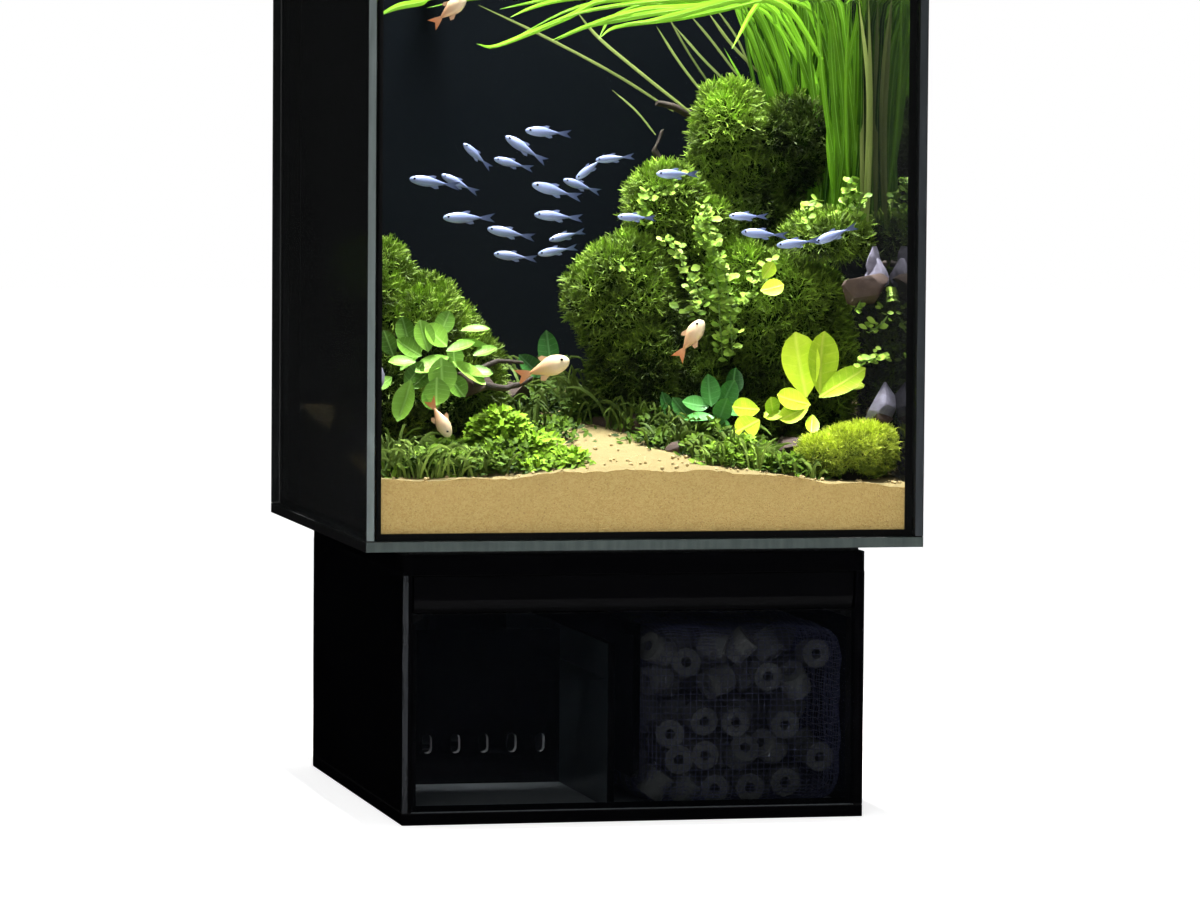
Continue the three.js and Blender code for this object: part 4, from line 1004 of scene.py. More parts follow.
# Each mound's lobes: the middle and the half-sizes, in millimetres.
RIGHT_LOBES = (
    ((61, 0, 282), (13, 14, 14)), ((90, -4, 273), (15, 14, 17)), ((32, -2, 248), (15, 16, 15)),
    ((14, -8, 208), (20, 20, 23)), ((93, -46, 236), (16, 16, 6.5)), ((66, 6, 236), (26, 20, 40)),
    ((46, 0, 228), (22, 20, 28)), ((82, -24, 200), (23, 18, 26)), ((56, -8, 172), (42, 26, 22)),
    ((26, -12, 180), (22, 18, 22)), ((95, -22, 176), (13, 18, 26)), ((60, -22, 206), (16, 14, 22)),
)
LEFT_LOBES = (
    ((-95, -14, 206), (14, 24, 22)), ((-76, -16, 194), (20, 24, 20)), ((-62, -24, 176), (18, 20, 20)),
    ((-90, -16, 170), (18, 30, 24)),
)
CUSHION_LOBES = (
    ((81, -88, 146.5), (12, 12, 8)), ((91, -88, 149), (14, 12, 8.5)), ((100, -87, 150.5), (11, 12, 9)),
    ((91, -84, 144), (19, 13, 9)),
)


def mossy_stone(name, node, lobes, bed, finish):
    """The stone under the moss: its lobes run together, swollen by the moss's dead under-layer."""
    join([ball(name + "_lobe", middle, MM, half, 4) for middle, half in lobes])
    piece = just_added(name)
    melt(piece, 2.0 * MM, 0.7, 4)
    lump(piece, name + "_lumps", 16 * MM, strength=4.2 * bed, rest=0.4)
    hand_over(piece, finish, smooth=60, stands_for=(node,))
    return piece


def moss_frond_shape(length):
    """One frond: a bent spine of three faces with two side shoots."""
    points, faces = leaf_shape(length, 0.13 * length, widest=0.35, fold=0.0, droop=0.3, rows=3, tip=0.3,
                               halves=1)
    rows = [list(point) for point in points]
    whole = [list(face) for face in faces]
    for share, side in ((0.3, 1), (0.55, -1)):
        root = Vector((share * length, 0, -0.3 * length * share ** 2))
        outward = Vector((0.26 * length, side * 0.26 * length, 0.06 * length))
        start = len(rows)
        bend = Vector((0.05 * length, 0, 0))
        for place in (root, root + outward * 0.5 + bend, root + outward, root + outward * 0.5 - bend):
            rows.append(list(place))
        whole.append([start, start + 1, start + 2, start + 3])
    return np.array(rows), whole


def grow_moss(name, ground, total, clump, length, finish, shade, keep=None):
    """Covers a stone with domed clumps of fronds that fan out from each clump's middle."""
    rng = draws(name)
    # The clumps' middles are those of many random spots that keep a distance from each other.
    spots = surface_samples(ground, 4000, rng)[0]
    spots = spots[spaced(spots, 1.1 * clump)]
    spot_tint = rng.uniform(0.6, 1.2, len(spots))
    places, normals = surface_samples(ground, total, rng, toward=(0, -0.75, 0.66))
    nearest = np.argmin(((places[:, None, :] - spots[None, :, :]) ** 2).sum(2), axis=1)
    offset = (places - spots[nearest]) / clump
    reach = np.minimum(np.linalg.norm(offset, axis=1), 1.2)
    dome = np.maximum(1 - reach ** 2, -0.2)
    places = places + normals * (dome * 0.34 * clump)[:, None]
    jitter = rng.normal(0, 0.6, places.shape)
    lift = np.array([0, -0.1, 0.25])
    forward = normals * 0.8 + offset * 0.6 + jitter + lift
    # Painted light and shade: fronds that face up and those on a clump's crown are painted lighter, those
    # in the gaps between clumps darker; each clump and frond also keeps its own random tone, and shade adds
    # the painted shade of the hollows.
    sky = np.clip(normals[:, 2] * 0.55 + 0.45, 0, 1)
    tints = (0.1 + 0.55 * np.maximum(dome, 0) + 0.65 * sky) * spot_tint[nearest]
    tints *= rng.uniform(0.55, 1.25, total)
    tints *= shade(places)
    scales = rng.uniform(0.5, 1.4, total)
    tips = places + forward / np.linalg.norm(forward, axis=1, keepdims=True) * length
    chosen = within_water(tips) if keep is None else within_water(tips) & keep(tips)
    places, forward, tints, scales = places[chosen], forward[chosen], tints[chosen], scales[chosen]
    frames = frames_along(places, forward, rng.normal(size=places.shape), scales)
    shape = moss_frond_shape(length)
    # No one mesh holds more fronds than this.
    most = 18000
    for first in range(0, len(frames), most):
        part = slice(first, first + most)
        moss = copies(f"{name}_{first // most + 1}", shape, frames[part], np.clip(tints[part], 0, 1.3))
        hand_over(moss, finish)


def within_water(places):
    """Which tips stay clear of the panes, the overflow wall and the water's surface."""
    clear = 1.0 * MM
    return ((places[:, 0] > INSIDE_LEFT + clear) & (places[:, 0] < INSIDE_RIGHT - clear)
            & (places[:, 1] > INSIDE_FRONT + clear) & (places[:, 1] < WALL_Y - clear)
            & (places[:, 2] < WATER_LEVEL - clear))


# Painted shade in the moss's hollows and painted light on its crowns: middle and half-sizes in millimetres,
# and depth (a crown's is below zero). The right mound's painted shade lies under the eelgrass, between its
# lobes and near the sand.
RIGHT_SHADE_AND_LIGHT = (
    ((91, -10, 272), (18, 40, 30), 0.95), ((57, -14, 289), (13, 30, 15), -0.6),
    ((10, -20, 212), (14, 30, 26), 0.25), ((68, -10, 250), (18, 40, 13), 0.8),
    ((38, -12, 204), (12, 30, 24), 0.6), ((28, -20, 184), (22, 30, 22), 0.55),
    ((20, -20, 170), (34, 30, 16), 0.75), ((60, -30, 172), (30, 30, 14), 0.7),
)
LEFT_PAINTED_SHADE = (((-84, -30, 184), (30, 30, 14), 0.5),)


def shaded(places, light, hollows):
    """How light a mound's moss is painted at each place: the mound's lightness, with painted shade in its
    hollows and painted light on its crowns.
    """
    shade = np.full(len(places), light)
    for middle, half, depth in hollows:
        gap = (places - np.array(middle) * MM) / (np.array(half) * MM)
        shade *= 1 - depth * np.exp(-(gap ** 2).sum(1))
    return shade


class AQUARIUM_OT_moss(bpy.types.Operator):
    """Moss over the stones, in clumps, with its dark under-layer"""
    bl_idname = "aquarium.moss"
    bl_label = "Moss mounds"

    def execute(self, context):
        sizes = context.scene.aquarium_sizes
        colours = context.scene.aquarium_colours
        under = stone_finish("dead moss on stone", colour("#24380c"), colour("#0a1104"), 5, 0.0)
        rock = stone_finish("dark basalt", colour("#2c2722"), colour("#0e0c0b"), 7)
        moss = foliage_finish("water moss", colours.moss_dark, colours.moss_light, 0.6, spots=11,
                              mottle=0.7)
        cushion = foliage_finish("cushion moss", colour("#4e6612"), colour("#d6e64c"), 0.65, spots=5,
                                 mottle=0.5)
        mounds = (
            ("right_mound", "right_moss_stone", RIGHT_LOBES, sizes.moss_right, 1.0, RIGHT_SHADE_AND_LIGHT),
            ("left_mound", "left_moss_stone", LEFT_LOBES, sizes.moss_left, 0.75, LEFT_PAINTED_SHADE),
        )
        for name, node, lobes, total, light, hollows in mounds:
            ground = mossy_stone(name + "_stone", node, lobes, sizes.moss_bed, under)
            grow_moss(name + "_moss", ground, total, sizes.moss_clump, sizes.moss_frond, moss,
                      lambda places: shaded(places, light, hollows))
        stone = mossy_stone("cushion_rock", "cushion_stone", CUSHION_LOBES, 0.8 * MM, rock)
        # The cushion is painted darker towards the sand, a painted shade where it meets it, and leaves a
        # wavy rim of stone bare.
        skirt = low("cushion_stone").z + 1.5 * MM
        grow_moss("cushion_moss", stone, sizes.moss_cushion, 0.5 * sizes.moss_clump,
                  0.7 * sizes.moss_frond, cushion,
                  lambda places: 0.25 + 0.8 * np.clip((places[:, 2] - skirt - 2 * MM) / (9 * MM), 0.0, 1.0),
                  lambda tips: tips[:, 2] > skirt + 1.5 * MM * np.sin(tips[:, 0] * 300))
        return {"FINISHED"}


def blade_mesh(name, paths, widths, tints, finish):
    """Long ribbons, each with a shallow gutter down its middle."""
    points, faces, along, across, own = [], [], [], [], []
    for path, width, shade in zip(paths, widths, tints):
        start = len(points)
        steps = len(path)
        for index, place in enumerate(path):
            ahead = path[min(index + 1, steps - 1)] - path[max(index - 1, 0)]
            side = np.cross(ahead, [0.25, -1, 0.1])
            side /= max(np.linalg.norm(side), 1e-9)
            out = np.cross(side, ahead)
            out /= max(np.linalg.norm(out), 1e-9)
            # Narrow at the root, at its full width a fifth of the way up, pointed at the tip.
            share = index / (steps - 1)
            root, tip = 0.6 + 0.4 * min(1, 5 * share), max(min(1, 3.5 * (1 - share)) ** 0.7, 0.06)
            half = width / 2 * tip * root
            points += [place - side * half, place + out * half * 0.25, place + side * half]
            along += [share] * 3
            across += [1, 0, 1]
            own += [shade] * 3
            if index:
                row = start + 3 * index
                faces += [[row - 3, row - 2, row + 1, row], [row - 2, row - 1, row + 2, row + 1]]
    mesh = bpy.data.meshes.new(name)
    mesh.from_pydata([tuple(point) for point in points], [], faces)
    write_values(mesh, along=along, across=across, tint=own)
    hand_over(linked(name, mesh), finish, smooth=60)


def eased(corners, steps=20):
    """A smooth path through corners given in millimetres."""
    knots = np.array(corners, float) * MM
    knots = np.vstack([2 * knots[0] - knots[1], knots, 2 * knots[-1] - knots[-2]])
    path = []
    spans = len(knots) - 3
    for step in range(steps + 1):
        reach = min(step / steps * spans, spans - 1e-9)
        span = int(reach)
        t = reach - span
        a, b, c, d = knots[span:span + 4]
        path.append(0.5 * (2 * b + (c - a) * t + (2 * a - 5 * b + 4 * c - d) * t ** 2
                           + (3 * b - a - 3 * c + d) * t ** 3))
    path = np.array(path)
    margin = 2 * MM
    path[:, 0] = np.clip(path[:, 0], INSIDE_LEFT + margin, INSIDE_RIGHT - margin)
    path[:, 1] = np.clip(path[:, 1], INSIDE_FRONT + margin, WALL_Y - margin)
    path[:, 2] = np.minimum(path[:, 2], WATER_LEVEL - margin)
    return path


# Blades that lie along the surface and hang from it: corners from the root, width (both in
# millimetres) and lightness.
SURFACE_BLADES = (
    (((96, -12, 300), (84, -10, 326), (64, -11, 335), (44, -12, 332), (20, -14, 330), (-2, -17, 324),
      (-20, -20, 317)), 3.4, 1.1),
    (((98, 0, 304), (86, 0, 326), (71, 0, 333), (53, -4, 330), (37, -8, 327), (9, -16, 323),
      (0, -20, 318)), 2.8, 0.9),
    (((92, -8, 306), (70, -8, 333), (36, -10, 334), (4, -13, 334), (-12, -17, 327), (-29, -20, 320),
      (-46, -27, 314), (-54, -30, 315)), 2.9, 1.1),
    (((90, 4, 310), (60, 2, 335), (29, 0, 333), (10, -5, 334), (-10, -10, 330), (-33, -15, 319)),
      2.0, 0.8),
    (((60, -4, 334), (20, -8, 335), (-3, -10, 335), (-19, -17, 333), (-30, -23, 330), (-40, -30, 326)),
      2.2, 0.85),
    (((40, 14, 335), (0, 12, 336), (-14, 8, 335), (-24, 5, 333), (-38, 0, 330)), 1.8, 0.7),
    (((-40, -56, 336), (-76, -60, 334), (-84, -63, 331), (-94, -67, 329), (-103, -70, 325)), 3.6, 1.0),
    (((40, 4, 335), (24, 0, 333), (9, -5, 327), (2, -10, 318)), 1.8, 0.8),
    (((88, -16, 318), (78, -18, 334), (70, -22, 335), (64, -27, 330), (58, -33, 322), (52, -40, 314)),
      2.6, 1.25),
    (((98, -20, 306), (82, -20, 330), (66, -20, 335), (47, -18, 332), (26, -16, 329), (10, -14, 326),
      (-3, -12, 323), (-16, -10, 317)), 3.2, 1.0),
    (((94, -28, 310), (78, -29, 332), (60, -30, 335), (46, -30, 332), (32, -30, 328), (19, -30, 325),
      (8, -30, 324)), 3.6, 1.15),
    (((90, -14, 312), (72, -14, 334), (44, -14, 335), (18, -16, 333), (-6, -18, 329), (-24, -20, 323)),
      2.2, 0.95),
    (((96, 6, 308), (76, 6, 332), (48, 8, 334), (24, 8, 331), (4, 8, 325)), 2.2, 0.6),
    (((100, -24, 312), (90, -26, 330), (76, -28, 335), (66, -30, 334), (50, -32, 330)), 2.4, 0.9),
    (((20, 10, 336), (-20, 4, 336), (-50, 0, 334), (-70, -4, 330)), 1.6, 0.55),
)
# Thin runners that cross the open water behind, given the same way.
RUNNERS = (
    (((43, 25, 288), (16, 23, 304), (-16, 22, 320), (-43, 20, 332)), 1.3, 0.55),
    (((50, 20, 287), (27, 18, 304), (8, 17, 319), (-2, 15, 330)), 1.5, 0.95),
    (((56, 20, 294), (44, 20, 309), (34, 20, 324)), 1.2, 0.7),
    (((76, 10, 305), (64, 10, 317), (54, 10, 330)), 1.4, 0.75),
    (((34, 20, 278), (26, 22, 288), (16, 25, 297)), 0.9, 0.5),
    (((68, 30, 300), (57, 32, 311), (45, 35, 325)), 1.2, 0.35),
    (((74, 35, 303), (63, 38, 318), (53, 40, 330)), 1.2, 0.35),
    (((64, 36, 296), (52, 38, 314), (42, 40, 332)), 1.0, 0.25),
    (((78, 30, 306), (72, 32, 320), (62, 34, 334)), 1.1, 0.4),
)
# Runners that stand up along the right pane.
UPRIGHT_RUNNERS = (
    (((107, -54, 240), (108, -54, 284), (106, -56, 336)), 2.0, 0.7),
    (((107, -50, 246), (108, -50, 296), (104, -48, 335)), 2.0, 0.9),
    (((108, -42, 242), (108, -40, 290), (107, -38, 336)), 2.0, 0.6),
)


def streaming(name, rows, steps, finish, share=1.0):
    """Blades from rows of corners, width and lightness."""
    courses, widths, shades = zip(*rows)
    blade_mesh(name, [eased(corners, steps) for corners in courses],
               [share * width * MM for width in widths], shades, finish)


class AQUARIUM_OT_eelgrass(bpy.types.Operator):
    """Ribbon-leaved eelgrass that fans up behind the right mound and streams along the surface"""
    bl_idname = "aquarium.eelgrass"
    bl_label = "Eelgrass"

    def execute(self, context):
        sizes = context.scene.aquarium_sizes
        colours = context.scene.aquarium_colours
        rng = draws("eelgrass")
        finish = foliage_finish("eelgrass blade", colours.grass_dark, colours.grass_light, 0.35, 0.5, 14,
                                0.3)
        paths, widths, tints = [], [], []
        for _ in range(sizes.blades):
            # Blades rooted towards the front keep closer to the right pane.
            deep = rng.uniform(-40, 22)
            near = deep < -6
            foot = np.array([rng.uniform(97 if near else 90, 108.5), deep, rng.uniform(236, 246)])
            reach = rng.uniform(0, 1) ** (1.4 if near else 0.8)
            top = np.array([108 - (20 if near else 44) * reach, deep + rng.uniform(-12, 12), 335.0])
            short = rng.random() < 0.15
            if short:
                top[2] -= rng.uniform(8, 50)
            bow = np.array([rng.uniform(-3, 6), 0, 0])
            third, second = foot + (top - foot) * 0.33, foot + (top - foot) * 0.7
            over = top + np.array([-rng.uniform(6, 22), rng.uniform(-6, 4), rng.uniform(-2, 1)])
            corners = [foot, third + bow, second + bow * 0.9, top]
            if rng.random() < 0.3 and not short:
                corners.append(over)
            paths.append(eased(corners, 14))
            widths.append(sizes.blade_width * rng.uniform(0.55, 1.3))
            # Lightness: random and mostly dark, with painted shade that makes blades rooted further back
            # darker.
            tints.append((0.1 + 1.15 * rng.uniform(0, 1) ** 1.7) * (1.0 - 0.5 * (deep + 40) / 62))
        blade_mesh("eelgrass_stand", paths, widths, tints, finish)
        streaming("eelgrass_surface", SURFACE_BLADES, 26, finish, share=0.8)

        pale = foliage_finish("eelgrass runner", colour("#333f1c"), colour("#a9bc66"), 0.4, 0, 20, 0.2)
        thin = [(corners, width, 0.75 * shade) for corners, width, shade in RUNNERS]
        streaming("eelgrass_runners", [*thin, *UPRIGHT_RUNNERS], 14, pale)
        return {"FINISHED"}


def leaf_frames(leaves, length, width):
    """Frames for leaves given by root, heading, face, length, width and shade, in millimetres."""
    frames, tints = [], []
    for root, forward, face, long, wide, shade in leaves:
        scale = long * MM / length
        frames.append(frame_at(Vector(root) * MM, forward, face, scale, wide * MM / width / scale))
        tints.append(shade)
    return frames, tints


# Broad leaves: root, heading, the way the face looks, length, width and lightness, which holds painted
# light and shade as well as each leaf's own tone.
LEFT_LEAVES = (
    ((-92, -66, 182), (0.5, -0.1, 0.87), (-0.75, -0.6, 0.25), 14, 7, 0.4),
    ((-82, -74, 190), (-0.2, -0.1, 0.95), (0.1, -0.95, 0.3), 13, 9, 0.75),
    ((-74, -72, 192), (-0.6, -0.2, 0.75), (0.1, -0.9, 0.5), 12, 10, 0.9),
    ((-74, -76, 188), (-0.94, -0.25, -0.2), (-0.1, -0.6, 0.8), 15, 9, 0.9),
    ((-78, -80, 188), (0.05, -0.35, -0.95), (0.0, -0.9, 0.0), 14, 12, 0.65),
    ((-80, -82, 180), (0.0, -0.35, -0.95), (0.1, -0.9, 0.0), 11, 11, 0.55),
    ((-91, -84, 179), (-0.42, -0.2, -0.9), (-0.4, -0.9, 0.3), 17, 9, 1.0),
    ((-72, -74, 186), (0.85, -0.2, -0.35), (0.25, -0.5, 0.85), 16, 11, 1.2),
    ((-66, -60, 198), (0.95, -0.1, 0.28), (-0.1, -0.45, 0.9), 12, 6, 0.8),
    ((-68, -62, 194), (0.98, -0.1, 0.02), (0.0, -0.4, 0.9), 14, 6, 1.0),
    ((-74, -70, 190), (0.85, -0.3, 0.5), (-0.3, -0.5, 0.8), 12, 7, 0.7),
    ((-76, -66, 196), (0.35, -0.1, 0.95), (-0.2, -0.9, 0.2), 11, 8, 0.5),
    ((-84, -70, 188), (-0.75, -0.2, 0.6), (-0.4, -0.75, 0.6), 12, 8, 0.6),
    ((-88, -64, 192), (-0.3, 0, 1.0), (-0.3, -0.9, 0.1), 12, 8, 0.35),
    ((-74, -76, 181), (0.6, -0.4, -0.7), (0.3, -0.9, 0.2), 11, 9, 0.5),
    ((-92, -76, 176), (0.5, -0.3, 0.85), (-0.3, -0.9, 0.2), 12, 7, 0.4),
    ((-62, -66, 188), (0.85, -0.2, 0.5), (0, -0.6, 0.8), 10, 6, 0.65),
    ((-82, -74, 182), (-0.7, -0.5, -0.4), (-0.3, -0.8, 0.4), 11, 8, 0.45),
    ((-70, -66, 193), (0.1, -0.5, -0.85), (0.3, -0.8, 0.3), 10, 8, 0.45),
    ((-88, -78, 186), (-0.9, -0.2, 0.2), (-0.1, -0.6, 0.8), 11, 7, 0.7),
    ((-96, -72, 188), (-0.4, -0.2, 0.9), (-0.3, -0.9, 0.2), 11, 7, 0.35),
    ((-66, -70, 182), (0.9, -0.3, 0.1), (0.1, -0.6, 0.8), 11, 8, 0.55),
    ((-84, -80, 176), (0.3, -0.5, -0.8), (0.1, -0.9, 0.2), 10, 8, 0.4),
    ((-98, -80, 180), (-0.8, -0.3, -0.3), (-0.1, -0.7, 0.7), 10, 7, 0.6),
)
RIGHT_LEAVES = (
    ((76, -75, 171), (-0.15, -0.05, 0.99), (0.1, -0.98, 0.2), 27, 17, 1.0),
    ((82, -74, 172), (0.12, -0.05, 0.98), (0.35, -0.9, 0.25), 26, 15.5, 0.62),
    ((62, -52, 214), (0.9, -0.2, 0.3), (-0.2, -0.85, 0.5), 10, 8, 0.8),
    ((63, -52, 219), (0.5, -0.2, 0.8), (0.1, -0.9, 0.4), 8, 6, 0.7),
    ((81, -76, 171), (0.83, -0.1, 0.56), (-0.4, -0.88, 0.2), 23, 10, 0.6),
    ((77, -78, 168), (-0.93, -0.15, 0.33), (0.3, -0.85, 0.4), 15, 10, 0.75),
    ((76, -79, 168), (-0.88, -0.2, -0.35), (-0.2, -0.85, 0.4), 14, 8.5, 0.75),
    ((66, -78, 165), (-0.95, -0.1, -0.1), (0, -0.6, 0.8), 9, 7, 0.55),
    ((56, -76, 166), (-0.95, -0.2, 0.15), (0.2, -0.85, 0.35), 12, 9, 0.6),
    ((55, -80, 162), (-0.85, -0.3, -0.35), (-0.1, -0.9, 0.3), 12, 10, 0.75),
    ((92, -74, 175), (0.97, -0.1, 0.2), (0, -0.6, 0.8), 9, 5.5, 0.95),
    ((62, -76, 163), (-0.2, -0.4, 0.9), (0.1, -0.95, 0.3), 9, 7, 0.45),
    ((78, -78, 164), (-0.2, -0.7, -0.6), (0, -0.8, 0.5), 10, 6, 0.6),
)
DARK_LEAVES = (
    ((42, -50, 166), (-0.05, -0.2, 0.98), (0.1, -0.95, 0.3), 13, 9, 0.6),
    ((47, -48, 166), (0.5, -0.1, 0.86), (0.3, -0.85, 0.4), 12, 9, 0.7),
    ((42, -56, 162), (-0.95, -0.3, 0.2), (-0.2, -0.5, 0.85), 13, 7, 1.25),
    ((41, -50, 166), (-0.93, -0.2, 0.35), (-0.3, -0.7, 0.6), 11, 8, 0.8),
    ((43, -56, 162), (0.55, -0.4, -0.7), (0.3, -0.8, 0.4), 10, 7, 0.7),
    ((46, -52, 164), (0.95, -0.2, 0.2), (0.1, -0.5, 0.85), 12, 8, 0.9),
    ((44, -54, 160), (0.1, -0.6, 0.7), (0.0, -0.8, 0.6), 11, 8, 1.0),
    ((34, -48, 160), (-0.6, -0.2, 0.75), (-0.3, -0.8, 0.4), 12, 7, 0.5),
    ((28, -40, 160), (-0.3, -0.2, 0.9), (0, -0.9, 0.4), 12, 6, 0.4),
    ((52, -46, 170), (0.2, 0, 1), (0.1, -0.95, 0.2), 12, 8, 0.35),
    ((-14, 6, 180), (-0.2, -0.2, 1), (-0.3, -0.9, 0.1), 15, 9, 0.45),
    ((-18, 4, 176), (-0.7, -0.2, 0.7), (-0.3, -0.8, 0.4), 13, 8, 0.4),
)


class AQUARIUM_OT_broad_leaves(bpy.types.Operator):
    """Broad-leaved plants: at the left, the bright pair at the right and the dark one between"""
    bl_idname = "aquarium.broad_leaves"
    bl_label = "Broad leaves"

    def execute(self, context):
        colours = context.scene.aquarium_colours
        green = foliage_finish("anubias leaf", colour("#1c4a0e"), colour("#86ba42"), 0.4, 6, 8, 0.2,
                               0.5, 0.2)
        bright = foliage_finish("young sword leaf", colour("#5c9c10"), colours.leaf_bright, 0.4, 7, 6, 0.15,
                                0.8, 0.2)
        dark = foliage_finish("dark crypt leaf", colours.leaf_dark, colour("#58a04a"), 0.3, 6, 7, 0.2, 0.5)
        length, width = 20 * MM, 10 * MM
        # For each plant: where its leaf is widest, its fold, droop, rows of faces and bare stalk.
        plants = (
            ("broad_leaf_plant", LEFT_LEAVES, green, (0.52, 0.14, 0.25, 9), 0.1),
            ("bright_leaf_plant", RIGHT_LEAVES, bright, (0.58, 0.08, 0.12, 10), 0.09),
            ("dark_leaf_plant", DARK_LEAVES, dark, (0.45, 0.14, 0.3, 8), 0.1),
        )
        for name, leaves, finish, outline, stalk in plants:
            shape = leaf_shape(length, width, *outline, stalk=stalk)
            frames, tints = leaf_frames(leaves, length, width)
            hand_over(copies(name, shape, frames, tints), finish, smooth=60)
        return {"FINISHED"}


def stem_with_pairs(path, leaf_gap, rng, size, frames, tints, shade):
    """Pairs of leaves down a stem, each pair turned a quarter from the last."""
    turn = rng.uniform(0, math.pi)
    for start, end in zip(path[:-1], path[1:]):
        ahead = np.array(end, float) - np.array(start, float)
        steps = max(int(np.linalg.norm(ahead) / leaf_gap), 1)
        for index in range(steps):
            place = np.array(start) + ahead * index / steps
            turn += math.pi / 2 + rng.uniform(-0.3, 0.3)
            for half in (0, math.pi / 2, math.pi, math.pi * 1.5):
                out = Vector((math.cos(turn + half), math.sin(turn + half) - 0.35, rng.uniform(0.1, 0.7)))
                face = UP * 0.7 + Vector((rng.uniform(-0.4, 0.4), -0.8, 0))
                root = Vector(place) + Vector(rng.normal(0, 1, 3)) * 1.3 * MM
                frames.append(frame_at(root, out, face, size * rng.uniform(0.55, 1.2)))
                tints.append(shade * rng.uniform(0.3, 1.1))


# Stems of the small-leaved plants, in millimetres, and how light each is.
STEMS = (
    (((48, -44, 186), (47, -44, 200), (46, -43, 216), (44, -42, 232), (41, -40, 250)), 1.0),
    (((52, -46, 188), (51, -45, 202), (50, -44, 214), (48, -43, 226)), 0.95),
    (((46, -42, 206), (38, -42, 214), (32, -41, 224), (28, -40, 232), (22, -40, 236)), 0.9),
    (((44, -43, 212), (36, -43, 206), (30, -42, 204)), 0.8),
    (((50, -43, 206), (58, -43, 210), (62, -42, 212)), 0.85),
    (((46, -42, 226), (38, -40, 238), (42, -40, 248)), 1.0),
    (((60, -45, 218), (66, -45, 222), (70, -44, 228)), 1.0),
    (((20, -24, 242), (18, -22, 250), (22, -20, 256)), 0.9), (((30, -20, 254), (34, -18, 262)), 0.9),
    (((22, -22, 250), (28, -18, 258)), 0.8), (((80, -52, 248), (86, -52, 252)), 1.0),
    (((78, -58, 243), (82, -58, 244)), 1.2), (((97, -78, 206), (97, -80, 211)), 1.1),
    (((109, -78, 210), (109, -80, 215)), 1.1),
    (((96, -84, 186), (102, -84, 187), (108, -84, 188.5)), 1.1),
    (((102, -78, 198), (106, -80, 201), (109, -80, 205)), 1.15), (((10, -30, 222), (6, -30, 226)), 0.7),
    (((97, -56, 250), (100, -56, 262)), 0.8), (((102, -56, 246), (104, -56, 256)), 0.7),
    (((92, -52, 244), (97, -54, 246)), 0.9),
)
# Patches of carpet plant: middle, half-width, half-depth, count, height and lightness; the dark patches at
# the back and under the mounds are painted shade.
CARPETS = (
    (-52, -68, 15, 12, 1500, 22, 1.15), (-38, -74, 12, 12, 620, 11, 1.15),
    (-28, -88, 8, 12, 300, 5, 1.05), (36, -94, 8, 9, 240, 8, 0.7), (31, -76, 8, 10, 220, 8, 0.45),
    (20, -56, 11, 11, 260, 6, 0.32), (-76, -78, 12, 10, 420, 12, 0.5), (-92, -92, 12, 10, 320, 9, 0.45),
    (-38, -74, 9, 14, 260, 3, 1.15), (-64, -96, 16, 8, 420, 10, 0.55), (-40, -90, 8, 10, 220, 4, 1.1),
    (-84, -100, 14, 6, 260, 12, 0.5), (-54, -84, 14, 8, 300, 12, 0.4), (-20, -30, 12, 22, 150, 5, 0.35),
    (54, -76, 10, 10, 260, 10, 0.7), (76, -62, 20, 12, 240, 8, 0.3), (28, -36, 18, 12, 320, 14, 0.28),
    (2, -2, 12, 12, 240, 12, 0.28), (60, -94, 12, 7, 220, 7, 0.6), (47, -88, 7, 8, 200, 12, 0.95),
    (70, -92, 8, 9, 200, 8, 0.45), (40, -56, 9, 8, 220, 14, 0.4), (-44, -44, 14, 14, 260, 12, 0.3),
    (-20, 0, 18, 20, 300, 14, 0.25),
)
# Tufts of short grass: middle, half-width, height, count and lightness; the dark tufts at the back are
# painted shade.
TUFTS = (
    (34, -98, 6, 10, 18, 0.8), (24, -62, 9, 12, 30, 0.4), (32, -84, 7, 11, 20, 0.6),
    (-100, -98, 8, 15, 30, 0.5), (-90, -100, 8, 14, 34, 0.9), (-78, -102, 9, 12, 34, 1.1),
    (-68, -98, 8, 12, 26, 0.7), (-98, -86, 8, 18, 30, 0.45), (-84, -90, 8, 14, 30, 0.55),
    (-56, -98, 8, 9, 22, 0.5), (4, 0, 10, 24, 50, 0.3), (-6, -6, 9, 20, 40, 0.35),
    (12, -22, 8, 18, 40, 0.32), (20, -34, 8, 16, 40, 0.35), (28, -42, 8, 16, 36, 0.4),
    (36, -54, 7, 15, 30, 0.55), (-34, -56, 7, 10, 22, 0.7), (42, -84, 6, 15, 26, 0.85),
    (50, -94, 6, 13, 26, 0.95), (60, -92, 7, 11, 26, 0.7), (-18, 20, 16, 22, 60, 0.25),
    (94, -64, 8, 16, 22, 0.35), (70, -100, 7, 8, 18, 0.7), (50, -62, 6, 14, 20, 0.6),
    (-46, -46, 9, 16, 30, 0.3), (-30, -20, 12, 18, 40, 0.25), (30, -46, 5, 14, 10, 1.0),
)


